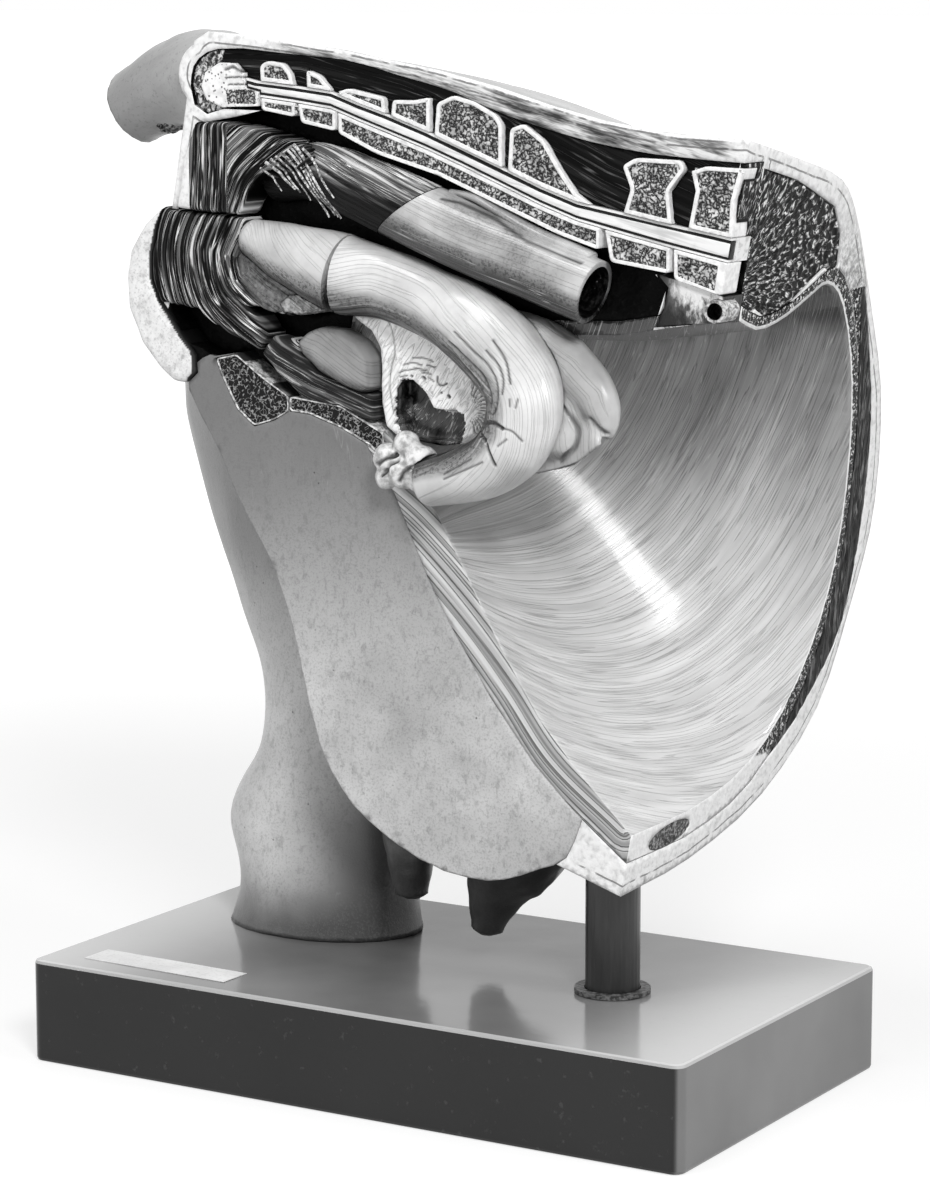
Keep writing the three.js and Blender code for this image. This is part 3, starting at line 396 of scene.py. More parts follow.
def skin_edge_paint():
    """The cut edge of the skin: plain white round the tail and the loin, grey and lined along the back."""
    material, tree = paint("skin_edge_paint", 0.5)
    where = place_on(tree)
    mottled = cloud(tree, where, 420, 4)
    across = across_flow(tree)
    ahead = on_object(tree, "X")
    high_up = mask(tree, on_object(tree, "Z"), 0.25, 0.265)
    before_loin = lacking(tree, mask(tree, ahead, 0.108, 0.118))
    along_back = times(tree, mask(tree, ahead, -0.055, -0.045), high_up, before_loin)
    white = shades(tree, mottled, (0.3, 0.8), (0.5, 0.93), (0.75, 0.97))
    streaked = cloud(tree, place_on(tree, (0.12, 1, 1), turn=-0.25), 520, 3, 0.65)
    lined_grey = shades(tree, streaked, (0.36, 0.14), (0.46, 0.5), (0.6, 0.88))
    under = over(tree, times(tree, along_back, mask(tree, across, 0.0008, 0.0022)), white, lined_grey)
    wander = number(tree, "MULTIPLY_ADD", cloud(tree, where, 60), 0.0016, -0.0008)
    depth = number(tree, "ADD", across, wander)
    first = number(tree, "COMPARE", depth, 0.0012, 0.0003)
    second = number(tree, "COMPARE", depth, 0.0034, 0.0003)
    broken = mask(tree, cloud(tree, where, 130), 0.36, 0.5)
    lines = times(tree, number(tree, "MAXIMUM", times(tree, first, along_back), second), broken)
    colour(material, over(tree, times(tree, lines, 0.7), under, grey(0.12)))
    relief(material, (mottled, 0.0003), (lines, -0.0003))
    return material


def speckle_paint(name, scale, stops, depth=0.0004, roughness=0.6, stretch=(1, 1, 1), turn=0.0, flow=False,
                  specular=0.25):
    """Flesh or grain: small marks, drawn out along one way where stretched."""
    material, tree = paint(name, roughness, specular=specular)
    marks = cloud(tree, place_on(tree, stretch, turn, flow), scale, 2, 0.6, 0.6)
    colour(material, inked_and_shaded(tree, shades(tree, marks, *stops)))
    relief(material, (marks, depth))
    return material


def sponge_paint(name, scale, width, pale=0.93, dark=0.08, cloudy=0.25):
    """Bone sponge: dark worm-like marks on white."""
    material, tree = paint(name, 0.6, specular=0.25)
    where = place_on(tree)
    worms = strokes(tree, where, scale, width, 1)
    patches = cloud(tree, where, scale * 0.22, 3)
    under = shades(tree, patches, (0.35, pale - cloudy), (0.6, pale))
    colour(material, inked_and_shaded(tree, over(tree, worms, under, grey(dark))))
    relief(material, (worms, -0.0004))
    return material


def muscle_paint(name, low, high, line, scale, along, width, depth=0.0004, share=1.0, specular=0.1):
    """Dark flesh with pale drawn strands along it."""
    material, tree = paint(name, 0.5, specular=specular)
    where = place_on(tree, (along, 1, 1), flow=True)
    thick = cloud(tree, where, scale * 0.8, 2, 0.6)
    thin = strokes(tree, where, scale, width, 2)
    broken = cloud(tree, place_on(tree, (along * 5, 1, 1), flow=True), scale * 0.5)
    gaps = mask(tree, broken, 0.4, 0.54)
    smooth_part = lacking(tree, marked(tree, "inner"))
    under = shades(tree, thick, (0.46, low), (0.53, (low + high) * 0.35), (0.61, high))
    plain = over(tree, marked(tree, "inner"), under, grey((low + high) * 0.62 + 0.12))
    drawn_on = over(tree, times(tree, thin, gaps, smooth_part, share), plain, grey(line))
    colour(material, inked_and_shaded(tree, drawn_on, 0.02))
    relief(material, (thin, depth), (thick, depth))
    return material


def organ_paint(name, top, side, under, striae, coat=0.3, speckle=0.6, shift=0.0):
    """A glossy membrane: pale outside, darkened by painted shade on the side marked inner, where it is also
    finely speckled and striped.
    """
    material, tree = paint(name, 0.3, coat=coat, coat_roughness=0.12)
    where = place_on(tree)
    patches = number(tree, "MULTIPLY_ADD", cloud(tree, where, 55, 3), 0.6, shift - 0.3)
    inner = number(tree, "ADD", patches, marked(tree, "inner"))
    mottled = cloud(tree, where, 70, 4)
    pale = shades(tree, mottled, (0.32, top - 0.08), (0.66, min(top + 0.05, 0.97)))
    # painted shade: the side marked inner, the underside of a level tube and the inside of a bend, darkens
    # from the top tone to the under tone
    turned = shades(tree, inner, (0.1, top), (0.45, side), (0.9, under))
    shaded_inner_side = over(tree, mask(tree, inner, 0.0, 0.35), pale, turned)
    freckles = cloud(tree, where, 1000, 2, 0.6)
    dotted = times(tree, mask(tree, freckles, 0.5, 0.6), mask(tree, inner, 0.2, 0.7), speckle)
    freckled = over(tree, dotted, shaded_inner_side, grey(0.1))
    lines = strokes(tree, place_on(tree, (0.02, 1, 1), flow=True), 560, 0.02, 1)
    light_lines = strokes(tree, place_on(tree, (0.03, 1, 1), flow=True), 448, 0.014, 1)
    shaded = over(tree, times(tree, light_lines, mask(tree, inner, 0.3, 0.7), 0.4), freckled, grey(0.95))
    striped = over(tree, times(tree, lines, mask(tree, inner, 0.15, 0.6), striae), shaded, grey(0.12))
    colour(material, inked_and_shaded(tree, striped, 0.03))
    relief(material, (mottled, 0.0004), (lines, -0.00015))
    return material


def bore_shade_paint():
    """The inside of the bowel: painted black as shade, with a few painted glints as on a wet surface."""
    material, tree = paint("bore_shade_paint", 0.35, coat=0.2, specular=0.2)
    where = place_on(tree)
    folds = cloud(tree, where, 420, 3)
    painted_glints = lacking(tree, mask(tree, cells(tree, where, 420), 0.04, 0.13))
    under = shades(tree, folds, (0.4, 0.01), (0.6, 0.04), (0.72, 0.14))
    colour(material, over(tree, times(tree, painted_glints, mask(tree, folds, 0.48, 0.54)), under, grey(0.75)))
    relief(material, (folds, 0.0014))
    return material


def membrane_paint():
    """White membrane with fine drawn wrinkles; the hollow in it is painted black as shade, with thin strands.
    """
    material, tree = paint("membrane_paint", 0.32, coat=0.2, specular=0.3)
    where = place_on(tree)
    mottled = cloud(tree, where, 260, 3)
    white = shades(tree, mottled, (0.35, 0.97), (0.55, 0.99))
    wrinkles = strokes(tree, place_on(tree, (0.3, 1, 1), turn=-0.2), 420, 0.02, 2)
    patchy = mask(tree, cloud(tree, where, 150), 0.56, 0.64)
    wrinkled = inked_and_shaded(tree, over(tree, times(tree, wrinkles, patchy, 0.3), white, grey(0.4)), 0.05)
    strands = strokes(tree, place_on(tree, (0.12, 1, 1), turn=0.95), 700, 0.04, 2)
    depth = cloud(tree, where, 130, 2)
    # painted shade: the hollow is near black
    black = shades(tree, depth, (0.38, 0.01), (0.64, 0.3))
    stranded = over(tree, times(tree, strands, mask(tree, depth, 0.44, 0.56), 0.8), black, grey(0.75))
    edge = number(tree, "MULTIPLY_ADD", cloud(tree, where, 500, 2), 0.5, marked(tree, "hollow"))
    colour(material, over(tree, mask(tree, edge, 0.68, 0.8), wrinkled, stranded))
    relief(material, (mottled, 0.0004), (strands, 0.0003))
    return material


def cavity_paint():
    """The belly wall's lining: fine strokes that run round the trunk, darkened near the spine as painted
    shade, with a black band under it as painted shadow, pale below.
    """
    material, tree = paint("cavity_paint", 0.34, coat=0.75, coat_roughness=0.17)
    slanted = lambda stretch: place_on(tree, (stretch, 1, 1), turn=-0.45, flow=True)
    broad = cloud(tree, slanted(0.16), 190, 2)
    pale_lines = strokes(tree, slanted(0.03), 760, 0.02, 1)
    dark_lines = strokes(tree, slanted(0.03), 900, 0.024, 1)
    broken = mask(tree, cloud(tree, slanted(0.3), 260, 3), 0.42, 0.56)
    height = number(tree, "MULTIPLY_ADD", cloud(tree, place_on(tree), 22, 3), 0.06, on_object(tree, "Z"))
    shaded = mask(tree, height, 0.31, 0.145)
    top = shades(tree, broad, (0.36, 0.34), (0.64, 0.5))
    low = shades(tree, broad, (0.36, 0.76), (0.64, 0.86))
    under = over(tree, shaded, top, low)
    # painted shadow: a near-black band just under the spine
    under = over(tree, times(tree, mask(tree, height, 0.268, 0.284), 0.9), under, grey(0.06))
    strength = number(tree, "MULTIPLY_ADD", shaded, -0.6, 1.0)
    darkened = over(tree, times(tree, dark_lines, broken, strength, 0.6), under, grey(0.12))
    colour(material, over(tree, times(tree, pale_lines, strength, 0.34), darkened, grey(0.9)))
    relief(material, (broad, 0.0005), (dark_lines, -0.00016))
    return material


def wall_rim_paint():
    """The wall's cut rim at the loin: a white lining, with dark flesh outside it along the flank."""
    material, tree = paint("wall_rim_paint", 0.5, specular=0.15)
    where = place_on(tree)
    white = shades(tree, cloud(tree, where, 600), (0.3, 0.88), (0.6, 0.96))
    dark = shades(tree, cloud(tree, where, 860, 2, 0.6, 0.7), *LOIN_STOPS)
    across = across_flow(tree)
    outside = times(tree, mask(tree, across, 0.001, 0.0013), marked(tree, "flank"))
    colour(material, over(tree, outside, white, dark))
    relief(material, (cloud(tree, where, 700), 0.0002))
    return material


def wall_edge_paint():
    """The striped edge of the belly wall on the midline: long thin dark lines on pale."""
    material, tree = paint("wall_edge_paint", 0.42, coat=0.3)
    where = place_on(tree, (0.012, 1, 1), flow=True)
    soft = cloud(tree, where, 300, 2)
    lines = strokes(tree, where, 330, 0.035, 1)
    under = shades(tree, soft, (0.34, 0.44), (0.5, 0.7), (0.62, 0.84))
    colour(material, over(tree, times(tree, lines, 0.75), under, grey(0.18)))
    relief(material, (soft, 0.0007), (lines, -0.0004))
    return material


def psoas_paint():
    """Pale and smeared under the vertebra, blackening downwards, towards the tail and where it turns from the
    front, as painted shade.
    """
    material, tree = paint("psoas_paint", 0.5)
    where = place_on(tree, (1, 1, 0.5))
    smears = cloud(tree, where, 260, 4, 0.7)
    rise = between(tree, on_object(tree, "Z"), 0.251, 0.268)
    ahead = between(tree, on_object(tree, "X"), 0.087, 0.1)
    smeared = number(tree, "MULTIPLY_ADD", number(tree, "SUBTRACT", smears, 0.5), 2.2, rise)
    to_front = mask(tree, number(tree, "MULTIPLY", facing(tree, "Y"), -1.0), 0.6, 0.9)
    lit = times(tree, smeared, ahead, to_front)
    colour(material, shades(tree, lit, (0.1, 0.01), (0.4, 0.3), (0.75, 0.9)))
    relief(material, (smears, 0.0008))
    return material


# ---- Shaping

def copied(name):
    """A CAD node's shape, its loose triangles joined."""
    bm = bmesh.new()
    bm.from_mesh(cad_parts[name].data)
    bmesh.ops.remove_doubles(bm, verts=bm.verts, dist=1e-6)
    bmesh.ops.dissolve_degenerate(bm, edges=bm.edges, dist=1e-6)
    return bm


def refined(bm, length, rounds=7):
    """Splits edges until none is longer than a length."""
    for _ in range(rounds):
        long = [e for e in bm.edges if e.calc_length() > length]
        if not long:
            break
        bmesh.ops.subdivide_edges(bm, edges=long, cuts=1)
        bmesh.ops.triangulate(bm, faces=[f for f in bm.faces if len(f.verts) > 3], quad_method="SHORT_EDGE")
    return bm


def is_sharp(edge, angle):
    return len(edge.link_faces) != 2 or edge.calc_face_angle(0) > angle


def smoothed(bm, verts, rounds):
    for _ in range(rounds):
        bmesh.ops.smooth_vert(bm, verts=verts, factor=0.5, use_axis_x=True, use_axis_y=True,
                              use_axis_z=True)
    return bm


def relaxed(bm, rounds, angle=32):
    """Evens out the smooth parts and keeps the sharp edges."""
    limit = math.radians(angle)
    held = {v for e in bm.edges if is_sharp(e, limit) for v in e.verts}
    free = [v for v in bm.verts if v not in held]
    smoothed(bm, free, rounds)
    bm.normal_update()
    return bm


def moulded(name, voxel, rounds):
    """A CAD node's shape as an even skin of small quads with softened edges."""
    bm = copied(name)
    mesh = bpy.data.meshes.new("mould")
    bm.to_mesh(mesh)
    bm.free()
    holder = bpy.data.objects.new("mould", mesh)
    bpy.context.scene.collection.objects.link(holder)
    remesh = holder.modifiers.new("skin", "REMESH")
    remesh.mode = "VOXEL"
    remesh.voxel_size = voxel * MM
    made = bpy.data.meshes.new_from_object(holder.evaluated_get(bpy.context.evaluated_depsgraph_get()))
    bpy.data.objects.remove(holder)
    bpy.data.meshes.remove(mesh)
    bm = bmesh.new()
    bm.from_mesh(made)
    bpy.data.meshes.remove(made)
    smoothed(bm, bm.verts, rounds)
    bm.normal_update()
    return bm


def roughened(bm, size, depth, verts=None):
    """Moves the surface in and out by soft lumps of a size, in millimetres."""
    bm.normal_update()
    moves = [(v, v.normal * noise.noise(v.co / (size * MM)) * depth * MM) for v in verts or bm.verts]
    for v, move in moves:
        v.co += move
    return bm


def clamped(value, high=1):
    return min(max(value, 0), high)


def share_layer(bm, name):
    return bm.verts.layers.float.get(name) or bm.verts.layers.float.new(name)


def finished(faces, index):
    """Gives some faces one of their piece's finishes."""
    for face in faces:
        face.material_index = index


def inset(bm, faces, width, depth=0.0, even=False):
    """Draws faces in by a width and out by a depth, in millimetres, and gives the new faces round them."""
    made = bmesh.ops.inset_region(bm, faces=faces, thickness=width * MM, depth=depth * MM,
                                  use_even_offset=even)
    return made["faces"]


def spread(bm):
    return np.array([v.co for v in bm.verts], float).reshape(-1, 3)


def drawn(points):
    """Points on the midline plane, [x, height on the half], in metres."""
    return np.array([(x * MM, (z + BLOCK_TOP) * MM) for x, z in points])


def along_line(places, line):
    """How far along a line drawn on the midline plane each place is, and how far beside it."""
    flat = places[:, [0, 2]]
    best = np.full(len(flat), 1e9)
    found = np.zeros((len(flat), 2))
    start = 0.0
    for a, b in zip(line[:-1], line[1:]):
        step = b - a
        length = float(np.hypot(*step))
        share = np.clip((flat - a) @ step / length ** 2, 0, 1)
        off = flat - (a + share[:, None] * step)
        distance = np.hypot(off[:, 0], off[:, 1])
        side = np.sign(step[0] * off[:, 1] - step[1] * off[:, 0])
        nearer = distance < best
        best[nearer] = distance[nearer]
        found[nearer, 0] = start + share[nearer] * length
        found[nearer, 1] = (distance * side)[nearer]
        start += length
    return found


def lay_flow(bm, values, faces=None):
    """Stores along and across for each vertex as the piece's flow map."""
    layer = bm.loops.layers.uv.get("flow") or bm.loops.layers.uv.new("flow")
    bm.verts.index_update()
    for face in faces or bm.faces:
        for loop in face.loops:
            loop[layer].uv = tuple(values[loop.vert.index])


def carved(bm, lines, width, depth, dark=1.0):
    """Presses lines drawn on the midline plane into the front, and marks them as dark drawn lines."""
    layer = share_layer(bm, "ink_and_shade")
    bm.verts.ensure_lookup_table()
    bm.normal_update()
    places = spread(bm)
    for line in lines:
        off = np.abs(along_line(places, drawn(line))[:, 1])
        for i in np.nonzero(off < width * MM)[0]:
            v = bm.verts[int(i)]
            if v.normal.y > 0.15:
                continue
            share = 1 - (off[i] / (width * MM)) ** 2
            v.co -= v.normal * depth * MM * share
            v[layer] = max(v[layer], dark * share ** 1.5)
    return bm


def ribbed(bm, depth, pitch, stretch=0.06, where=None):
    """Raises fibres that follow the flow map, a pitch apart in millimetres."""
    layer = bm.loops.layers.uv["flow"]
    bm.normal_update()
    moves = []
    for v in bm.verts:
        if not v.link_loops or (where and not where(v)):
            continue
        along, across = v.link_loops[0][layer].uv
        place = Vector((along * stretch, across, 0)) / (pitch * MM)
        moves.append((v, v.normal * noise.noise(place) * depth * MM))
    for v, move in moves:
        v.co += move
    return bm


def shaded_hollows(bm, full, rounds, most):
    """Darkens with painted shade what lies lower than its surroundings, fully at a depth in millimetres."""
    layer = share_layer(bm, "ink_and_shade")
    bm.normal_update()
    before = [(v.co.copy(), v.normal.copy()) for v in bm.verts]
    smoothed(bm, bm.verts, rounds)
    for v, (place, normal) in zip(bm.verts, before):
        low = (v.co - place).dot(normal) / (full * MM)
        v.co = place
        v[layer] = max(v[layer], clamped(low) * most)
    bm.normal_update()
    return bm


def marked_by(bm, name, share_at):
    """Stores a share from 0 to 1 for each vertex."""
    layer = share_layer(bm, name)
    bm.normal_update()
    for v in bm.verts:
        v[layer] = share_at(v)
    return bm


def followed(bm, line, faces=None):
    """Lays the flow map along a line drawn on the midline plane."""
    lay_flow(bm, along_line(spread(bm), drawn(line)), faces)
    return bm


def joined(bm, other):
    """Adds another mesh to this one."""
    mesh = bpy.data.meshes.new("part")
    other.to_mesh(mesh)
    other.free()
    bm.from_mesh(mesh)
    bpy.data.meshes.remove(mesh)
    return bm


def half_place(place):
    """A place as the CAD writes it: x, depth behind the midline, height on the half, in millimetres."""
    return place.x / MM, place.y / MM - MIDLINE, place.z / MM - BLOCK_TOP


def middle_of(face):
    return half_place(face.calc_center_median())


def shown(name, bm, materials, body, nodes):
    """Makes the finished piece: its materials, the body it rides on and the CAD nodes it stands for."""
    mesh = bpy.data.meshes.new(name)
    for face in bm.faces:
        face.smooth = True
    bm.to_mesh(mesh)
    bm.free()
    for material in materials:
        mesh.materials.append(material)
    mesh.set_sharp_from_angle(angle=SHARP)
    made = bpy.data.objects.new(name, mesh)
    bpy.context.scene.collection.objects.link(made)
    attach(made, body)
    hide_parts(*nodes)


def smooth_guide(points, cuts=8):
    """A drawn line with its corners rounded."""
    knots = [Vector((x, 0, z)) for x, z in points]
    count = cuts * (len(knots) - 1)
    made = [through(knots, i / count) for i in range(count + 1)]
    return [(place.x, place.z) for place in made]


def rounded(lines):
    return [smooth_guide(line) for line in lines]


# ---- Round organs: rings skinned along a line, as in the CAD

def through(knots, share):
    """The place a share along a smooth line through knots."""
    count = len(knots)
    place = min(share, 0.999999) * (count - 1)
    i = int(place)
    w = place - i
    p1, p2 = knots[i], knots[i + 1]
    p0 = knots[i - 1] if i > 0 else p1 * 2 - p2
    p3 = knots[i + 2] if i + 2 < count else p2 * 2 - p1
    gap = lambda a, b, instead: (b - a).length ** 0.5 if (b - a).length ** 0.5 > 1e-4 else instead
    d1 = gap(p1, p2, 1.0)
    d0, d2 = gap(p0, p1, d1), gap(p2, p3, d1)
    t1 = ((p1 - p0) / d0 - (p2 - p0) / (d0 + d1) + (p2 - p1) / d1) * d1
    t2 = ((p2 - p1) / d1 - (p3 - p1) / (d1 + d2) + (p3 - p2) / d2) * d1
    c2 = (p2 - p1) * 3 - t1 * 2 - t2
    c3 = (p1 - p2) * 2 + t1 + t2
    return p1 + t1 * w + c2 * w * w + c3 * w * w * w


def ring_frame(centre, heading, high, deep):
    up = heading.cross(Vector((0, 1, 0))).normalized()
    out = up.cross(heading).normalized()
    columns = Matrix((up * high, out * deep, heading)).transposed().to_4x4()
    columns.translation = centre
    return Matrix.Scale(MM, 4) @ columns


def swept(stations, sides=72, rings=160, round_start=0.0, round_end=0.0):
    """Skins rings through stations [x, depth behind the midline, height, half height, half depth]."""
    line = [Vector((x, MIDLINE + y, z + BLOCK_TOP)) for x, y, z, _, _ in stations]
    size = [Vector((high, deep, 0)) for _, _, _, high, deep in stations]
    heading_at = lambda t: (through(line, min(t + 1e-4, 1)) - through(line, max(t - 1e-4, 0))).normalized()
    frames = []
    turns = [i / 8 for i in range(1, 8)] + [0.97]

    def dome(end, reach, radii):
        """Shrinking rings that close an end."""
        for turn in turns:
            angle = turn * math.pi / 2
            centre = through(line, end) + heading_at(end) * reach * math.sin(angle)
            yield centre, heading_at(end), radii * math.cos(angle)

    if round_start > 0:
        frames += reversed(list(dome(0, -round_start, size[0])))
    for i in range(rings + 1):
        t = i / rings
        frames.append((through(line, t), heading_at(t), through(size, t)))
    if round_end > 0:
        frames += dome(1, round_end, size[-1])
    bm = bmesh.new()
    along_layer = share_layer(bm, "along")
    across_layer = share_layer(bm, "across")
    inner_layer = share_layer(bm, "inner")
    ring = bmesh.ops.create_circle(bm, segments=sides, radius=1.0)["verts"]
    edges = list({e for v in ring for e in v.link_edges})
    ends = []
    before = Matrix.Identity(4)
    travelled = 0.0
    for i, (centre, heading, radii) in enumerate(frames):
        now = ring_frame(centre, heading, radii.x, radii.y)
        if i > 0:
            made = bmesh.ops.extrude_edge_only(bm, edges=edges)["geom"]
            ring = [g for g in made if isinstance(g, bmesh.types.BMVert)]
            now_ring = set(ring)
            edges = [e for e in made if isinstance(e, bmesh.types.BMEdge) and now_ring.issuperset(e.verts)]
            travelled += (centre - frames[i - 1][0]).length * MM
        bmesh.ops.transform(bm, matrix=now @ before.inverted(), verts=ring)
        back = now.inverted()
        for v in ring:
            local = back @ v.co
            angle = (math.atan2(local.y, local.x) - math.pi / 2) % (2 * math.pi)
            v[along_layer] = travelled
            v[across_layer] = angle * max(radii.x, radii.y) * MM
            # inner: how far the side turns away from the ring's up; the organ paints darken it as painted
            # shade
            v[inner_layer] = max(0.0, -local.x)
        before = now
        if i in (0, len(frames) - 1):
            ends.append(edges)
    for rim in ends:
        bmesh.ops.contextual_create(bm, geom=rim)
    bmesh.ops.recalc_face_normals(bm, faces=bm.faces)
    return bm


def flow_from_rings(bm):
    """Turns the rings' own along and across into the flow map."""
    along = bm.verts.layers.float["along"]
    across = bm.verts.layers.float["across"]
    lay_flow(bm, [(v[along], v[across]) for v in bm.verts])
    return bm


# ---- Outer body

def in_trunk(places):
    """Along the leaning trunk, behind the midline, and up it, in metres."""
    x = places[:, 0]
    z = places[:, 2] - BLOCK_TOP * MM
    along = x * math.cos(LEAN) - z * math.sin(LEAN)
    up = x * math.sin(LEAN) + z * math.cos(LEAN)
    return np.stack([along, places[:, 1] - MIDLINE * MM, up], axis=1)


def round_trunk(bm):
    """Each vertex's place in the trunk, and its angle round the trunk's middle line."""
    trunk = in_trunk(spread(bm))
    return trunk, np.arctan2(trunk[:, 2] - TRUNK_HUB[1], trunk[:, 1] - TRUNK_HUB[0])


def trunk_place(place):
    """One place along, behind and up the trunk, in millimetres."""
    x, behind, z = half_place(place)
    return x * math.cos(LEAN) - z * math.sin(LEAN), behind, x * math.sin(LEAN) + z * math.cos(LEAN)


def on_cut_face(face):
    """Whether a face lies on the midline cut or on the loin cut."""
    along, behind, _ = trunk_place(face.calc_center_median())
    if face.normal.y < -SQUARE and abs(behind) < NEAR_CUT:
        return True
    return face.normal.dot(AHEAD) > SQUARE and abs(along - LOIN_CUT) < NEAR_CUT


def looks_away(place, normal, height=0.2):
    """Whether a face looks away from the trunk's middle at a height, in metres."""
    return normal.dot(place - Vector((-0.005, MIDLINE * MM, height))) > 0


def within(value, limits):
    return limits[0] < value < limits[1]


def search_tree(places):
    """Finds the nearest of some places."""
    tree = kdtree.KDTree(len(places))
    for i, place in enumerate(places):
        tree.insert(place, i)
    tree.balance()
    return tree


def edge_distances(bm, faces):
    """How far each vertex of some faces is from the outer skin."""
    chosen = set(faces)
    rim = [e for e in bm.edges if len(e.link_faces) == 2
           and (e.link_faces[0] in chosen) != (e.link_faces[1] in chosen)]
    outside = []
    for e in rim:
        other = e.link_faces[0] if e.link_faces[0] not in chosen else e.link_faces[1]
        middle = (e.verts[0].co + e.verts[1].co) / 2
        if looks_away(middle, other.normal):
            outside += [middle, e.verts[0].co, e.verts[1].co]
    tree = search_tree(outside)
    bm.verts.index_update()
    found = {}
    for v in {v for f in faces for v in f.verts}:
        found[v.index] = (v.co.x + v.co.z, tree.find(v.co)[2])
    return found


BED_GAP_X = (-96, -76)       # where the bed shows in the midline cut, under the lip
BED_GAP_Z = (196, 220)
BED_X = (-93, 105)
BED_LOW = 200
BED_DEPTH = 40
LINING_MIDDLE = 0.235
LINING_LOW = 0.2
LINING_DEPTH = 0.012
SEAM_DEPTH = 16              # the flesh between the loin muscle and the spine
SEAM_UP = (236, 281)


def in_the_bed(place, normal):
    """Whether a face of the casting belongs to the space behind the organs, which is painted black as shade.
    """
    x, behind, z = place
    if normal.y < -SQUARE and behind < NEAR_CUT:
        return within(x, BED_GAP_X) and within(z, BED_GAP_Z)
    seen = normal.z > 0.2 or normal.x > 0.2 or normal.y < -0.5
    return seen and within(x, BED_X) and within(z, (BED_LOW, 254 - 0.35 * x)) and behind < BED_DEPTH


def make_casting():
    bm = relaxed(refined(copied("body_casting"), 0.003), 12)
    cut_faces = [f for f in bm.faces if on_cut_face(f)]
    lay_flow(bm, edge_distances(bm, cut_faces), cut_faces)
    finished(cut_faces, 1)
    # the lining inside the trunk and the space behind the organs are painted black as shade
    for face in bm.faces:
        middle = face.calc_center_median()
        lining = face.material_index == 0 and middle.z > LINING_LOW and middle.y < LINING_DEPTH
        if lining:
            lining = not looks_away(middle, face.normal, LINING_MIDDLE)
        if lining or in_the_bed(half_place(middle), face.normal):
            face.material_index = 2
    for face in cut_faces:
        _, behind, up = trunk_place(face.calc_center_median())
        beside_spine = behind < SEAM_DEPTH and within(up, SEAM_UP)
        if face.normal.y > -0.9 and (beside_spine or beside_flank(behind, up)):
            face.material_index = 3
    cut_verts = {v for f in cut_faces for v in f.verts}
    roughened(bm, 20, 0.6, [v for v in bm.verts if v not in cut_verts])
    seam_flesh = speckle_paint("seam_flesh_paint", 860, LOIN_STOPS, 0.0003, specular=0.12)
    finishes = [hide_paint("hide_paint", 0.68, 0.84, shaded=True), skin_edge, bed_shade_finish, seam_flesh]
    shown("body_casting_skin", bm, finishes, "model", ["body_casting"])


WALL_TOP = 205
WALL_TOP_DEPTH = 75
WALL_STRIP = [(-28, 156), (-10, 145), (0, 137), (20, 118), (36, 100), (52, 80), (78, 60)]
FLANK_INNER = [(101, 241), (108, 221), (112, 202), (115.5, 184), (119, 159), (119, 139), (116, 127),
               (107, 114), (98, 104), (86, 94), (72, 82)]


def beside_flank(behind, up):
    """Whether a place on the loin cut lies between the belly wall and the flank muscle."""
    for (b0, u0), (b1, u1) in zip(FLANK_INNER[:-1], FLANK_INNER[1:]):
        if u1 <= up <= u0:
            edge = b0 + (b1 - b0) * (u0 - up) / (u0 - u1)
            return 60 < behind < edge + 0.4
    return False


def make_wall():
    bm = relaxed(refined(copied("abdominal_wall"), 0.0028), 12)
    trunk, around = round_trunk(bm)
    lay_flow(bm, np.stack([around * 0.09, trunk[:, 0]], axis=1))
    cut_faces = [f for f in bm.faces if on_cut_face(f)]
    strip_faces = [f for f in cut_faces if f.normal.y < -0.9]
    rim_faces = [f for f in cut_faces if f.normal.y > -0.9]
    followed(bm, smooth_guide(WALL_STRIP), strip_faces)
    # the wall's upward faces under the spine are painted black as shade
    for face in bm.faces:
        _, behind, z = middle_of(face)
        if face.normal.z > 0.5 and z > WALL_TOP and behind < WALL_TOP_DEPTH:
            face.material_index = 3
    finished(strip_faces, 1)
    finished(rim_faces, 2)
    rim = set(rim_faces)
    lining = [v for f in rim_faces for e in f.edges if not rim.issuperset(e.link_faces)
              and all(g in rim or faces_cavity(g) for g in e.link_faces) for v in e.verts]
    tree = search_tree([v.co for v in lining])
    bm.verts.index_update()
    from_lining = {v.index: (0.0, tree.find(v.co)[2]) for f in rim_faces for v in f.verts}
    lay_flow(bm, from_lining, rim_faces)
    marked_by(bm, "flank", lambda v: 1.0 if trunk_place(v.co)[2] > 82 else 0.0)
    materials = [cavity_paint(), wall_edge_paint(), wall_rim_paint(), bed_shade_finish]
    shown("belly_wall", bm, materials, "model", ["abdominal_wall"])


def faces_cavity(face):
    """Whether a face of the belly wall looks into the cavity."""
    return not looks_away(face.calc_center_median(), face.normal)


def make_udder():
    bm = relaxed(refined(copied("udder_half"), 0.0028), 12)
    roughened(bm, 8, 0.22)
    # painted shade: the udder's rear darkens where its face turns away into the groove by the thigh
    marked_by(bm, "ink_and_shade", lambda v: clamped((v.normal.y + 0.62) * 1.6, 0.85) if v.co.x < 0 else 0.0)
    paint_made = hide_paint("udder_paint", 0.64, 0.82, upper=0.44)
    shown("udder_skin", bm, [paint_made], "model", ["udder_half"])
    # the teats are painted dark as the shade under the udder
    for name, low, high in (("rear_teat", 0.2, 0.3), ("front_teat", 0.13, 0.24)):
        bm = relaxed(refined(copied(name), 0.0016), 12)
        roughened(bm, 5, 0.5)
        shown(name + "_skin", bm, [hide_paint(name + "_paint", low, high)], "model", [name])


TORN_X = (-117, -99)
TORN_TOP = 276.5


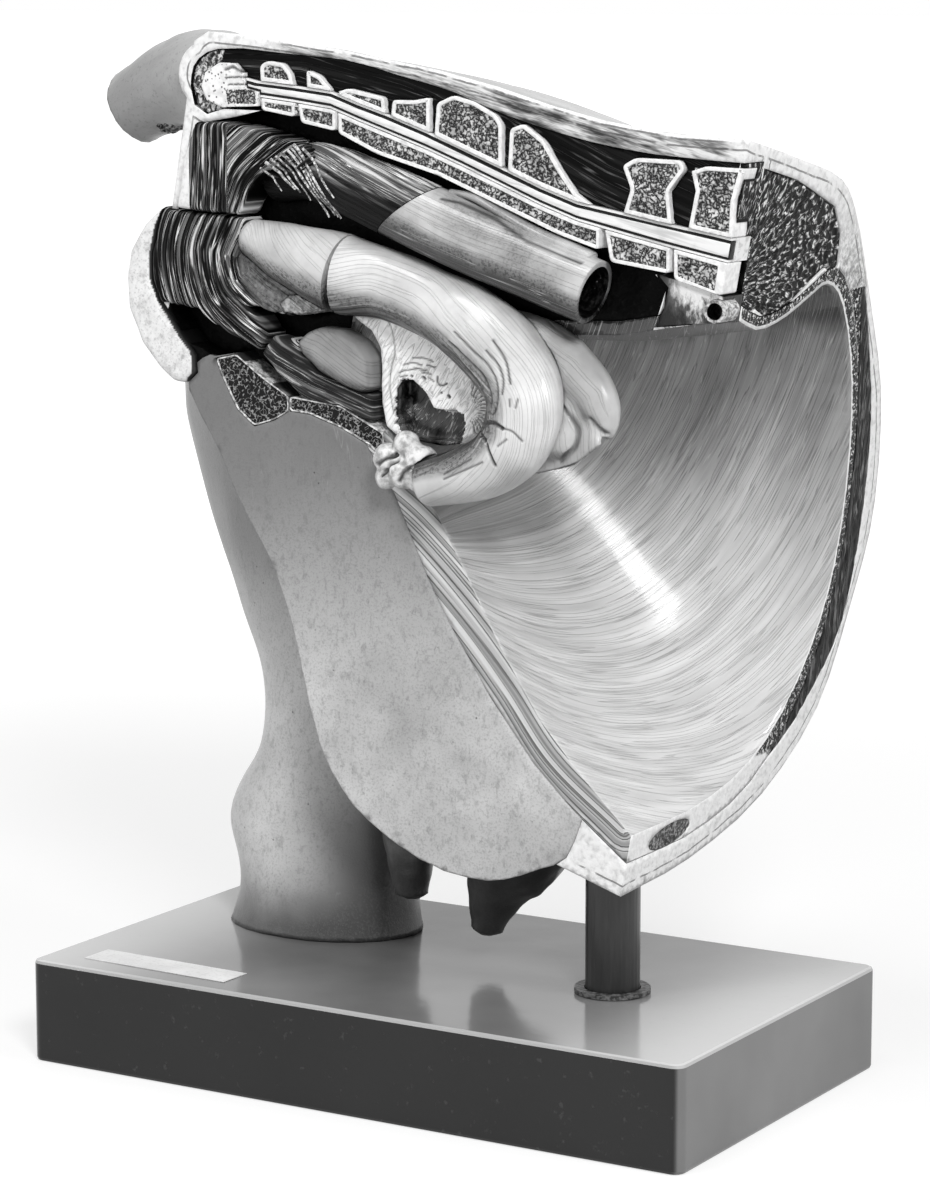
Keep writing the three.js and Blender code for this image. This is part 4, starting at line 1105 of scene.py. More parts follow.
def make_tail():
    bm = relaxed(refined(copied("tail_stump"), 0.0018), 12, 45)
    for face in bm.faces:
        x, _, z = middle_of(face)
        if within(x, TORN_X) and z < TORN_TOP and face.normal.z < 0.3:
            face.material_index = 1
    torn = {v for f in bm.faces if f.material_index == 1 for v in f.verts}
    roughened(bm, 9, 0.6)
    roughened(bm, 1.6, 0.9, list(torn))
    torn_paint = speckle_paint("torn_end_paint", 900, [(0.45, 0.04), (0.52, 0.5), (0.6, 0.85)], 0.001)
    shown("tail_skin", bm, [tail_hide_paint(), torn_paint], "model", ["tail_stump"])


# ---- Bones and flesh of the cut

CORD = [(-68, 291.8), (-45, 288.5), (-31, 286.8), (-20, 283), (-10, 279.9), (18, 269.9), (47, 258.4),
        (60, 254), (75, 251), (105, 245.3), (125, 241.6)]
CANAL_REACH = 5.5
CORNER = 1.1


def whole_faces(name):
    """A CAD node's shape with each flat face in one piece."""
    bm = copied(name)
    bmesh.ops.dissolve_limit(bm, angle_limit=math.radians(1), verts=bm.verts, edges=bm.edges)
    bm.normal_update()
    return bm


def make_bone(name, materials, edge_width=1.15, wide_end=0.0):
    """A sawn bone: a pale rounded edge round a sunken core of sponge."""
    bm = whole_faces(name)
    upright = [e for e in bm.edges if abs((e.verts[0].co - e.verts[1].co).normalized().y) > 0.99
               and e.calc_length() > 0.004]
    off = np.abs(along_line(np.array([e.verts[0].co for e in upright]), drawn(CORD))[:, 1])
    corners = [e for e, distance in zip(upright, off) if distance > CANAL_REACH * MM]
    bmesh.ops.bevel(bm, geom=corners, offset=CORNER * MM, segments=3, profile=0.5, affect="EDGES",
                    material=-1, clamp_overlap=True)
    bm.normal_update()
    core = [f for f in bm.faces if f.normal.y < -0.99 and f.calc_center_median().y < MIDLINE * MM + 0.001]
    inset(bm, core, edge_width, even=True)
    if wide_end:
        xs = [v.co.x for f in core for v in f.verts]
        low, high = min(xs), max(xs)
        for v in {v for f in core for v in f.verts}:
            v.co.x -= wide_end * MM * (v.co.x - low) / (high - low)
    inset(bm, core, 0.15, -0.35, even=True)
    finished(core, 1)
    bmesh.ops.triangulate(bm, faces=bm.faces)
    refined(bm, 0.001)
    rim = {v for f in bm.faces if f.material_index == 0 for v in f.verts}
    roughened(bm, 1.2, 0.4, [v for v in bm.verts if v not in rim])
    roughened(bm, 5, 0.12, [v for v in rim if v.normal.y < -0.9])
    shown(name + "_sawn", bm, materials, "model", [name])


BULB_SPONGE = [(-71.5, 289.4), (-60, 289.9), (-59.6, 285.1), (-70.6, 285), (-71.5, 289.4)]
BULB_SLIT = [(-71.5, 296.0), (-68.7, 297.0), (-65.1, 295.4)]
BULB_LINES = [[(-71.5, 293.4), (-66, 293.7), (-60.5, 293.5)], [(-70.5, 291.2), (-60.5, 291.4)]]


def make_bulb(sponge):
    """The last tail vertebra: a dotted white knob and a block of sponge, with the cord's lines in it."""
    bm = refined(copied("tail_vertebra_1"), 0.0007, 9)
    carved(bm, BULB_LINES, 0.42, 0.25)
    carved(bm, [BULB_SLIT], 0.75, 0.35, 0.9)
    roughened(bm, 5, 0.15)
    for face in bm.faces:
        x, _, z = middle_of(face)
        if face.normal.y < -0.6 and in_outline(x, z, BULB_SPONGE):
            face.material_index = 1
    material, tree = paint("tail_bulb_paint", 0.5)
    where = place_on(tree)
    dots = lacking(tree, mask(tree, cells(tree, where, 620), 0.16, 0.26))
    left = mask(tree, on_object(tree, "X"), -0.0695, -0.0725)
    under = shades(tree, cloud(tree, where, 420), (0.3, 0.84), (0.6, 0.96))
    colour(material, inked_and_shaded(tree, over(tree, times(tree, dots, left, 0.8), under, grey(0.15)), 0.03))
    relief(material, (dots, -0.0003))
    shown("tail_vertebra_1_sawn", bm, [material, sponge], "model", ["tail_vertebra_1"])


def make_bones():
    edge = speckle_paint("bone_edge_paint", 420, [(0.3, 0.86), (0.6, 0.96)], 0.00008, 0.5)
    sponge = [edge, sponge_paint("bone_sponge_paint", 760, 0.2, pale=0.88, dark=0.02)]
    for name in ("tail_vertebra_2", "tail_vertebra_3", "sacrum", "lumbar_vertebra_1", "lumbar_vertebra_2"):
        make_bone(name, sponge, 1.0, wide_end=1.8 if name == "lumbar_vertebra_2" else 0.0)
    make_bulb(sponge[1])
    for i in range(1, 9):
        make_bone(f"spine_process_{i}", sponge)
    thin_edge = speckle_paint("pelvic_bone_edge_paint", 500, [(0.4, 0.5), (0.6, 0.9)], 0.0001)
    coarse = [thin_edge, sponge_paint("pelvic_sponge_paint", 620, 0.07, pale=0.04, dark=0.64, cloudy=0.03)]
    for name in ("pubic_bone_rear", "pubic_bone_front"):
        make_bone(name, coarse, 0.35)


def make_cord():
    """The cord as a pale band with a black line along each side."""
    bm = whole_faces("spinal_cord")
    finished(bm.faces, 1)
    front = [f for f in bm.faces if f.normal.y < -0.99]
    inset(bm, front, 0.42, even=True)
    inset(bm, front, 0.2, 0.25, even=True)
    band = {v for f in front for v in f.verts}
    furthest = max(v.co.x for v in band)
    for v in band:
        if v.co.x > furthest - 0.001:
            v.co += AHEAD * 0.6 * MM
    finished(front, 0)
    bmesh.ops.triangulate(bm, faces=bm.faces)
    materials = [canal_finish, cord_border]
    shown("spinal_cord_band", refined(bm, 0.003), materials, "model", ["spinal_cord"])


LOIN_CENTRE = (0.0, 0.2465)  # behind the midline and up the trunk, in metres
LOIN_ROUND = 0.034           # metres across the flow map for each radian
LOIN_STOPS = [(0.44, 0.02), (0.53, 0.13), (0.585, 0.6), (0.66, 0.95)]


def lay_loin_flow(bm, faces=None):
    """A flow map that runs out from the spine over the loin cut."""
    trunk = in_trunk(spread(bm))
    out = np.stack([trunk[:, 1] - LOIN_CENTRE[0], trunk[:, 2] - LOIN_CENTRE[1]], axis=1)
    reach = np.hypot(out[:, 0], out[:, 1])
    lay_flow(bm, np.stack([reach, np.arctan2(out[:, 1], out[:, 0]) * LOIN_ROUND], axis=1), faces)


def loin_paint():
    """Dark flesh with pale marbling, drawn out from the spine, and a few black seams."""
    material, tree = paint("loin_muscle_paint", 0.55, specular=0.12)
    where = place_on(tree, (0.4, 1, 1), flow=True)
    marbling = cloud(tree, where, 860, 2, 0.6, 0.7)
    grain = cloud(tree, where, 1800, 2)
    seams = strokes(tree, place_on(tree, (0.12, 1, 1), flow=True), 120, 0.02, 1)
    base = shades(tree, marbling, *LOIN_STOPS)
    dulled = over(tree, times(tree, mask(tree, grain, 0.45, 0.6), 0.3), base, grey(0.1))
    colour(material, over(tree, times(tree, seams, 0.8), dulled, grey(0.03)))
    relief(material, (marbling, 0.0006), (seams, -0.0004))
    return material


def make_loin():
    """The cut loin muscle, its marbling drawn out from the spine."""
    bm = relaxed(refined(copied("loin_muscle"), 0.0014), 3)
    lay_loin_flow(bm)
    cut = {f for f in bm.faces if f.normal.x > 0.9 or on_cut_face(f)}
    roughened(bm, 2.2, 0.5, [v for v in bm.verts if cut.issuperset(v.link_faces)])
    shown("loin_muscle_cut", bm, [loin_finish], "model", ["loin_muscle"])


def make_flank():
    bm = refined(copied("flank_muscle"), 0.002)
    trunk, around = round_trunk(bm)
    lay_flow(bm, np.stack([around * 0.1, trunk[:, 1] + trunk[:, 2] * 0.2], axis=1))
    roughened(bm, 2.5, 0.3)
    material = muscle_paint("flank_muscle_paint", 0.05, 0.24, 0.55, 620, 0.1, 0.05)
    shown("flank_muscle_cut", bm, [material], "model", ["flank_muscle"])


TAIL_STRIP = [(-86.5, 301), (-76.5, 306), (-72.6, 303.4), (-74.2, 299.0), (-78.2, 296.4), (-79.9, 292.5),
              (-79.1, 287.3), (-75.2, 284.8), (-70.4, 284.2), (-69.5, 277), (-84, 276), (-88, 288),
              (-86.5, 301)]
BACK_LINE = [(-90, 300), (-43, 299), (-5, 291), (32, 279), (68, 262), (125, 240)]


def make_back_muscle():
    bm = refined(copied("back_muscle"), 0.0012, 8)
    followed(bm, BACK_LINE)
    ribbed(bm, 0.35, 1.8)
    for face in bm.faces:
        if face.normal.x > 0.9:
            face.material_index = 1
        elif in_outline(*middle_of(face)[::2], TAIL_STRIP):
            face.material_index = 2
    lay_loin_flow(bm, [f for f in bm.faces if f.material_index == 1])
    material = muscle_paint("back_muscle_paint", 0.01, 0.1, 0.34, 420, 0.03, 0.02, 0.0003, specular=0.08)
    strip = speckle_paint("tail_strip_paint", 620, [(0.4, 0.08), (0.5, 0.4), (0.6, 0.85)])
    materials = [material, loin_finish, strip]
    shown("back_muscle_cut", bm, materials, "model", ["back_muscle"])


AORTA_X = 109
AORTA_Z = 225
AORTA_RADIUS = 3.6
AORTA_LENGTH = 9.7


def make_aorta():
    """A thick-walled vessel cut off square, with its bore painted black as shade."""
    bm = bmesh.new()
    ring = bmesh.ops.create_circle(bm, cap_ends=True, segments=48, radius=AORTA_RADIUS * MM)["verts"]
    place = Matrix.Translation((AORTA_X * MM, (MIDLINE - 1) * MM, (AORTA_Z + BLOCK_TOP) * MM))
    bmesh.ops.transform(bm, matrix=place @ Matrix.Rotation(math.pi / 2, 4, "X"), verts=ring)
    cap = list(bm.faces)
    made = bmesh.ops.extrude_face_region(bm, geom=cap)["geom"]
    far = [g for g in made if isinstance(g, bmesh.types.BMVert)]
    bmesh.ops.translate(bm, vec=(0, AORTA_LENGTH * MM, 0), verts=far)
    bmesh.ops.recalc_face_normals(bm, faces=bm.faces)
    bm.normal_update()
    mouth = [f for f in bm.faces if f.normal.y < -0.9]
    inset(bm, mouth, 0.5, 0.15)
    inset(bm, mouth, 0.45, -0.1)
    for _ in range(5):
        finished(inset(bm, mouth, 0.05, -1.1), 1)
    finished(mouth, 1)
    for v in bm.verts:
        x, _, z = half_place(v.co)
        v.co.x += 0.12 * MM * math.sin(3 * math.atan2(z - AORTA_Z, x - AORTA_X))
    wall = speckle_paint("aorta_paint", 700, [(0.38, 0.42), (0.6, 0.85)], 0.0003, 0.4)
    shown("aorta_mouth", bm, [wall, bore_shade_finish], "model", ["aorta_stump"])


# ---- Fibres round the bowel's root and the vestibule

COLUMN_FIBRES = [(-75.5, 292), (-76.5, 281), (-77, 265), (-79, 238)]
ARCH_FIBRES = [(-71, 234), (-66, 245), (-63.4, 250.8), (-59.4, 259), (-51.5, 265.7), (-41.7, 272.3),
               (-28, 281)]
VESTIBULE_FIBRES = [(-76, 262), (-77.4, 252), (-83.6, 236.8), (-79.8, 220.4), (-69.9, 211), (-58.9, 204.2),
                    (-46, 196)]
COLUMN_EDGE = -68.5          # between the column of upright fibres and the arches
COLUMN_SKIN = -83.6          # between the fibres and the skin's cut edge
SMOOTH_ZONE = [(-63, 252), (-66.5, 240), (-66, 227), (-58, 219)]
PALE_OVAL = [(-50, 220.7), (-46.1, 223.5), (-40.2, 224.4), (-33, 222), (-31.7, 220), (-33.6, 217.9),
             (-42.2, 216.5), (-48.1, 217.9), (-50, 220.7)]

RECTUM = [(-58, 9, 260, 7, 7), (-41, 6, 263.3, 9.5, 9), (-20, 2, 258.5, 10.5, 10), (2, 0, 251.2, 11, 10.8),
          (23, 0, 243.5, 11, 10.8), (45, 0, 236, 10.6, 10.4), (66, 0, 229, 10.4, 10.2)]
RECTUM_RIDGE = [(14, 1.5, 258.6, 0.9, 1.5), (22, 1, 257.2, 1.3, 2.4), (33, 0.8, 252.4, 1.5, 3),
                (46, 0.6, 246.4, 2, 3.2), (58, 0.6, 242.4, 2, 3.2), (65, 0.6, 240.2, 1.7, 3)]
RIDGE_CREASE = [(14, 256.8), (20, 255.6), (33, 250.9), (46, 244.5), (58, 240.5), (65, 238.4)]
SEAM_LOW = (-14, 243)
SEAM_HIGH = (10, 259.5)
GAP = 0.3
BOWEL_WALL = 1.5


def bowel_front(x, z):
    """Depth behind the midline of the bowel's front at a place, in millimetres."""
    for (x0, y0, z0, high0, deep0), (x1, y1, z1, high1, deep1) in zip(RECTUM[:-1], RECTUM[1:]):
        if x <= x1:
            break
    share = clamped((x - x0) / (x1 - x0))
    mix = lambda a, b: a + (b - a) * share
    rise = min(abs(z - mix(z0, z1)) / mix(high0, high1), 1)
    return mix(y0, y1) - mix(deep0, deep1) * math.sqrt(1 - rise * rise)


FAN = [[(-37.9, 271.5), (-31, 262.1), (-25.7, 255.8)],
       [(-41.4, 272.7), (-36.4, 264.5), (-31.8, 258.2), (-25.8, 249.1)],
       [(-42.6, 271.7), (-37.6, 264.1), (-32.6, 257.2), (-27, 249.5)],
       [(-43.7, 270.7), (-38.7, 263.8), (-33.4, 256.2), (-28, 250)],
       [(-46, 269.7), (-41.8, 264.3), (-36.5, 258.1), (-30.4, 249.3)],
       [(-48.4, 268.7), (-44.1, 263.6), (-40.3, 258.6), (-37.5, 254.5)],
       [(-50.3, 267.7), (-46.5, 262.3), (-41.5, 256.9)], [(-52.3, 266.6), (-48.1, 261.6), (-43.4, 257.9)],
       [(-54.3, 264.7), (-51.2, 260.2), (-48.8, 257.2)]]


def fan_strands():
    """Thin strands that fan out from the arch over the bowel's root."""
    fan = None
    for i, line in enumerate(FAN):
        stations = []
        places = smooth_guide(line, 3)
        for step, (x, z) in enumerate(places):
            t = step / (len(places) - 1)
            behind = min(bowel_front(x, z), -1.5) - 0.7
            behind = -6.3 + (behind + 6.3) * min(t * 3, 1)
            thick = (0.5 + 0.12 * math.sin(i * 2.1)) * (1 - 0.45 * t)
            stations.append((x, behind, z, thick, thick))
        strand = swept(stations, 8, 26)
        fan = strand if fan is None else joined(fan, strand)
    return flow_from_rings(fan)


def make_sphincter():
    """The muscle round the bowel's end: a column of upright fibres, and arched bundles."""
    bm = moulded("anal_sphincter", 0.55, 2)
    places = spread(bm)
    column = along_line(places, drawn(smooth_guide(COLUMN_FIBRES)))
    arch = along_line(places, drawn(smooth_guide(ARCH_FIBRES))) + 0.1
    upright = places[:, [0]] < COLUMN_EDGE * MM
    lay_flow(bm, np.where(upright, column, arch))
    ribbed(bm, 0.8, 1.0, 0.05, where=lambda v: v.co.x > COLUMN_SKIN * MM)
    carved(bm, [ARCH_FIBRES[1:6]], 0.5, 0.3, 0.5)
    for face in bm.faces:
        x, _, z = middle_of(face)
        if x < COLUMN_SKIN - 0.05 * max(262 - z, 0):
            face.material_index = 1
    finish = muscle_paint("sphincter_paint", 0.01, 0.42, 0.95, 780, 0.03, 0.045, 0.0004)
    materials = [finish, skin_edge]
    shown("anal_sphincter_fibres", bm, materials, "model", ["anal_sphincter"])
    strand_paint = speckle_paint("strand_paint", 900, [(0.36, 0.3), (0.5, 0.6), (0.6, 0.9)], 0.0002, 0.5)
    shown("fan_strands", fan_strands(), [strand_paint], "model", ["anal_sphincter"])


def seam_side():
    along = Vector((SEAM_HIGH[0] - SEAM_LOW[0], 0, SEAM_HIGH[1] - SEAM_LOW[1])).normalized()
    return Vector((along.z, 0, -along.x))


def halved(bm, back, keep_ahead):
    """Cuts the bowel along its slanting seam and closes the cut."""
    side = seam_side()
    place = (Vector((SEAM_LOW[0], MIDLINE, SEAM_LOW[1] + BLOCK_TOP)) - side * back) * MM
    geometry = bm.verts[:] + bm.edges[:] + bm.faces[:]
    bmesh.ops.bisect_plane(bm, geom=geometry, plane_co=place, plane_no=side, clear_outer=not keep_ahead,
                           clear_inner=keep_ahead)
    bmesh.ops.holes_fill(bm, edges=[e for e in bm.edges if e.is_boundary], sides=0)
    bmesh.ops.recalc_face_normals(bm, faces=bm.faces)
    bm.normal_update()
    return bm


def make_rectum():
    root = halved(swept(RECTUM, 80, 170), GAP, False)
    flow_from_rings(root)
    ribbed(root, 0.5, 1.6, 0.05)
    root_paint = muscle_paint("bowel_root_paint", 0.3, 0.8, 0.93, 600, 0.03, 0.04, 0.0004)
    tree = root_paint.node_tree
    lit = present_colour(root_paint)
    # painted shade: the root blackens on its lower side
    shade = mask(tree, facing(tree, "Z"), 0.04, 0.68)
    colour(root_paint, over(tree, shade, over(tree, 0.985, lit, grey(0.01)), lit))
    shown("rectum_root_fibres", root, [root_paint], "model", ["rectum_root"])

    tube = flow_from_rings(halved(swept(RECTUM, 80, 170), 0, True))
    mouth = [max((f for f in tube.faces if f.calc_center_median().x > 0.06), key=lambda f: f.calc_area())]
    inset(tube, mouth, 0.35, 0.25)
    inset(tube, mouth, BOWEL_WALL, -0.1)
    bore = set(mouth)
    for _ in range(9):
        bore.update(inset(tube, mouth, 0.08, -2.4))
    finished(bore, 1)
    bore_verts = {v for f in bore for v in f.verts}
    roughened(tube, 2.6, 0.8, [v for v in bore_verts if bore.issuperset(v.link_faces)])
    ridge = flow_from_rings(swept(RECTUM_RIDGE, 24, 90, 1.5, 1.5))
    marked_by(ridge, "inner", lambda v: 0.0)
    joined(tube, ridge)
    carved(tube, [RIDGE_CREASE], 0.55, 0.1, 0.95)
    finish = organ_paint("bowel_paint", 0.82, 0.5, 0.05, striae=0.25, speckle=0.8, shift=0.32)
    shown("rectum_tube_skin", tube, [finish, bore_shade_finish], "rectum", ["rectum_tube"])


# ---- The organs that lift out

VAGINA = [(-61, 0, 241.5, 6.5, 6), (-50, 0, 237.7, 9.6, 9), (-38.5, 0, 234.3, 11.6, 10.5),
          (-27.2, 0, 231.3, 13, 11.5)]
UTERUS = [(-25.4, 0, 230.8, 12.9, 11.5), (-9, 0, 228.3, 11.2, 11), (6, 0, 223.5, 11, 11),
          (21, -1, 217.5, 12.3, 12), (36, -3, 208, 13, 12.5), (45, -6, 196, 12.3, 12),
          (44.5, -9, 184, 11.6, 11.5), (37.5, -10, 175.5, 10.2, 10.5), (25.5, -9, 170.3, 9, 9.2),
          (11, -8, 166.8, 8, 8.2)]
WOMB_CREASES = [
    [(35.1, 185.7), (38.2, 188.4), (41.9, 188.5), (44.9, 187.2)],
    [(35.5, 184.4), (38.2, 183.4), (40.3, 179.8), (42.4, 175.4)],
]
WOMB_THIN = [
    [(44.9, 187.2), (48.2, 186.4), (51.2, 183.4)], [(43.7, 181.6), (46.6, 183.8)],
    [(22.2, 171), (33.3, 176.8)], [(22.2, 169.4), (38, 176.1)], [(46.4, 196.2), (46.7, 194)],
    [(49, 196.2), (48.6, 193.6)],
]
HORN_CREASES = [[(51.2, 194.8), (56.3, 190.3), (58.5, 186), (57.4, 179.6), (52, 174.5)],
                [(62.8, 188.5), (66.4, 184)], [(31.1, 165.7), (40, 168.5), (49.1, 170.8), (60, 174.7)]]
HORN_LINE = [(20, 218), (42, 211), (54, 203), (61, 195), (64, 185), (64, 175)]
WOMB_FOLDS = [
    [(23.4, 215.7), (30.7, 210.4), (37.6, 206.1), (41.3, 200.6), (41.7, 193.1), (40.6, 191.1)],
    [(36.2, 210.7), (41.3, 206.3), (43.5, 201.7), (43.5, 197.6)], [(38, 213.9), (43.4, 207.9), (46, 200.9)],
    [(21, 212.5), (29, 207), (35.5, 202.5), (38.8, 197), (39.2, 191)],
    [(18, 211), (26, 205.5), (33, 199.5), (36.5, 193.5)],
]


def make_labium():
    bm = moulded("labium", 0.6, 9)
    roughened(bm, 9, 0.3)
    # painted shade: the side against the vestibule and the edges turning away from the front are darkened
    marked_by(bm, "ink_and_shade", lambda v: 1.0 if v.normal.x > 0.45 else clamped((v.normal.y + 0.75) * 1.2, 0.5))
    material, tree = paint("lip_paint", 0.5, coat=0.2)
    mottled = cloud(tree, place_on(tree), 330, 4, 0.65)
    fine = cloud(tree, place_on(tree), 1200, 2)
    base = shades(tree, mottled, (0.32, 0.76), (0.48, 0.9), (0.7, 0.95))
    dotted = over(tree, times(tree, mask(tree, fine, 0.54, 0.66), 0.35), base, grey(0.55))
    colour(material, inked_and_shaded(tree, dotted, 0.04))
    relief(material, (mottled, 0.0002), (fine, 0.00005))
    shown("labium_lip", bm, [material], "genital_block", ["labium"])


def in_outline(x, z, outline):
    inside = False
    for (x0, z0), (x1, z1) in zip(outline, outline[1:] + outline[:1]):
        if (z0 > z) != (z1 > z) and x < (x1 - x0) * (z - z0) / (z1 - z0) + x0:
            inside = not inside
    return inside


def make_vestibule():
    """Curved fibres towards the lip, and a smooth grey zone with a pale oval towards the vagina."""
    bm = followed(moulded("vestibule_muscle", 0.5, 2), smooth_guide(VESTIBULE_FIBRES))
    smooth_line = drawn(SMOOTH_ZONE)

    def smoothness(v):
        x, _, z = half_place(v.co)
        off = along_line(np.array([v.co]), smooth_line)[0, 1] / MM
        return clamped(off / 3) if z > 217 + (x + 58) * 0.1 else 0.0

    marked_by(bm, "inner", smoothness)
    inner = bm.verts.layers.float["inner"]
    ribbed(bm, 1.0, 1.2, 0.05, where=lambda v: v[inner] < 0.5)
    marked_by(bm, "oval", lambda v: 1.0 if in_outline(*half_place(v.co)[::2], PALE_OVAL) else 0.0)
    oval = bm.verts.layers.float["oval"]
    bm.normal_update()
    for v in bm.verts:
        if v[oval] and v.normal.y < -0.5:
            v.co.y -= 0.5 * MM
    carved(bm, [PALE_OVAL], 0.4, 0.25, 0.8)
    material = muscle_paint("vestibule_paint", 0.01, 0.44, 0.95, 760, 0.028, 0.045, 0.0004)
    tree = material.node_tree
    striped = present_colour(material)
    mottled = shades(tree, cloud(tree, place_on(tree), 520, 4, 0.7), (0.36, 0.42), (0.62, 0.74))
    darker = shades(tree, cloud(tree, place_on(tree), 500, 4, 0.7), (0.36, 0.3), (0.62, 0.54))
    smooth_part = over(tree, marked(tree, "oval"), darker, mottled)
    patch = number(tree, "MAXIMUM", marked(tree, "inner"), marked(tree, "oval"))
    colour(material, inked_and_shaded(tree, over(tree, patch, striped, smooth_part), 0.04))
    shown("vestibule_fibres", bm, [material], "genital_block", ["vestibule_muscle"])


def make_vagina():
    bm = flow_from_rings(swept(VAGINA, 84, 60, 5))
    roughened(bm, 12, 0.35)
    finish = organ_paint("vagina_paint", 0.78, 0.62, 0.3, striae=0.3, speckle=0.85, shift=0.14)
    shown("vagina_skin", bm, [finish], "genital_block", ["vagina"])


def make_womb():
    bm = flow_from_rings(swept(UTERUS, 156, 420, 0, 3))
    roughened(bm, 14, 0.5)
    inner = bm.verts.layers.float["inner"]
    ribbed(bm, 0.55, 1.6, 0.04, where=lambda v: v[inner] > 0.3)
    carved(bm, rounded(WOMB_FOLDS), 0.55, 0.4, 0.95)
    carved(bm, rounded(WOMB_THIN), 0.5, 0.3, 0.8)
    carved(bm, rounded(WOMB_CREASES), 0.75, 0.9, 1.0)
    finish = organ_paint("womb_paint", 0.83, 0.56, 0.14, striae=0.8, speckle=0.85, shift=0.06)
    shown("womb_skin", bm, [finish], "womb_group", ["uterus"])

    bm = moulded("far_horn", 0.55, 16)
    followed(bm, HORN_LINE)
    roughened(bm, 9, 0.4)
    carved(bm, rounded(HORN_CREASES), 0.9, 0.7, 0.75)
    shaded_hollows(bm, 0.35, 10, 0.75)
    # the underside is marked inner, for painted shade
    marked_by(bm, "inner", lambda v: max(0.0, -v.normal.z * 0.7 - 0.1))
    finish = organ_paint("far_horn_paint", 0.76, 0.54, 0.32, striae=0.6)
    shown("far_horn_skin", bm, [finish], "womb_group", ["far_horn"])

    bm = moulded("ovary", 0.42, 16)
    roughened(bm, 3.2, 0.3)
    carved(bm, rounded(OVARY_CREVICES), 0.9, 1.1)
    shaded_hollows(bm, 0.3, 8, 0.9)
    material, tree = paint("ovary_paint", 0.3, coat=0.6)
    mottled = cloud(tree, place_on(tree), 420, 3)
    colour(material, inked_and_shaded(tree, shades(tree, mottled, (0.34, 0.62), (0.6, 0.9)), 0.03))
    relief(material, (mottled, 0.0004))
    shown("ovary_folds", bm, [material], "womb_group", ["ovary"])


FOLD_CENTRE = (20.5, 189.5)
OVARY_CREVICES = [[(-6.2, 171.2), (-3.4, 173.2), (0.4, 175)], [(-2.1, 168.4), (-1.2, 171.8), (1.6, 173.4)],
                  [(2.6, 166.6), (5.5, 170.8), (10.4, 172.1)], [(8.7, 164.6), (10.4, 168.9), (12.4, 172)],
                  [(-4.8, 168), (-2.6, 170)]]
LIGAMENT_PITS = [(12.3, 193.4, 0.8), (3, 198.8, 0.9), (9.6, 194.4, 0.5), (-1.6, 199.2, 0.6)]
LIGAMENT_RING = [(8.4, 199.4), (8.4, 197.4), (10, 196.6), (11.8, 197.4)]
LIGAMENT_RIM = [(-13.2, 219.2), (-9.9, 216.4), (-8.2, 210.6), (-7.6, 205.8), (-9.2, 200.9), (-9.6, 194.1),
                (-8.1, 186.5)]
LIGAMENT_WRINKLES = [
    [(-4.5, 202.6), (-1, 203.4), (2.4, 202.8)], [(-3, 200.9), (0.6, 201.6), (5, 201)],
    [(-6, 200), (-3.6, 200.9)], [(2.5, 200.6), (6, 200.1)], [(-1, 204.9), (3.2, 205.2), (7, 204.2)],
    [(5, 199), (7, 197.8)], [(-5.5, 198.6), (-3, 199.2)], [(4.4, 203), (7.6, 202.4)],
]
LIGAMENT_CURLS = [[(-7.9, 190.9), (-5.6, 191.6), (-4.6, 190), (-5.7, 187.7), (-8, 187.8)],
                  [(-7.4, 186.2), (-4.8, 186.6), (-4.1, 185), (-5, 183.2), (-7.6, 183.7)]]
HOLLOW = [(-5.2, 197.9), (-2.6, 198.1), (-0.7, 196.4), (1.6, 194.8), (3.8, 192.2), (5.4, 190.6), (7.6, 188.2),
          (11, 187.3), (15.1, 188.2), (18, 188.4), (18.6, 183.4), (16.9, 179.1), (13.5, 175.1), (9.8, 173.9),
          (7.5, 175.6), (-1.5, 175.7), (-3.9, 178.8), (-7, 184), (-7.6, 189.1), (-7.2, 194.6), (-5.2, 197.9)]


def make_ligament():
    """The broad ligament: a white flap with pits, radial folds towards the horn, and a shallow hollow painted
    black as shade.
    """
    bm = moulded("broad_ligament", 0.42, 3)
    roughened(bm, 5, 0.6, [v for v in bm.verts if v.normal.y < -0.3])
    bm.normal_update()
    moves = []
    for v in bm.verts:
        x, behind, z = half_place(v.co)
        if v.normal.y > -0.3 or behind > 4:
            continue
        reach = math.hypot(x - FOLD_CENTRE[0], z - FOLD_CENTRE[1])
        angle = math.atan2(z - FOLD_CENTRE[1], x - FOLD_CENTRE[0])
        if reach > 1.5 and -1.5 < angle < 1.5:
            fade = min((reach - 1.5) / 3, 1)
            moves.append((v, 0.4 * fade * math.sin(angle * 30 + math.sin(reach))))
    for v, rise in moves:
        v.co.y -= rise * MM
    for x, z, size in LIGAMENT_PITS:
        carved(bm, [[(x, z), (x + 0.4 * size, z - 0.3 * size)]], size, size)
    carved(bm, rounded(LIGAMENT_WRINKLES), 0.42, 0.35, 0.85)
    carved(bm, rounded(LIGAMENT_CURLS + [LIGAMENT_RING]), 0.5, 0.5, 0.95)
    carved(bm, [smooth_guide(LIGAMENT_RIM)], 0.4, 0.3, 0.7)
    shaded_hollows(bm, 0.25, 8, 0.85)

    def hollow_at(v):
        x, behind, z = half_place(v.co)
        drift = noise.noise(Vector((x, 0, z)) * 0.9) * 0.9
        in_front = v.normal.y < 0.3 and behind < 9.5
        return 1.0 if in_front and in_outline(x + drift, z + drift, HOLLOW) else 0.0

    marked_by(bm, "hollow", hollow_at)
    hollow = bm.verts.layers.float["hollow"]
    # the hollow is pressed in only 1 mm; the membrane paint blackens it as painted shade
    for v in bm.verts:
        if v[hollow] and half_place(v.co)[1] < 2.6:
            v.co.y += 1.0 * MM
    shown("ligament_membrane", bm, [membrane_paint()], "womb_group", ["broad_ligament"])


BLADDER_LINE = [(-58, 214), (-35, 208), (-8, 192)]
URETHRA_LINE = [(-70, 212), (-53, 201), (-38, 194), (-20, 188), (0, 180)]


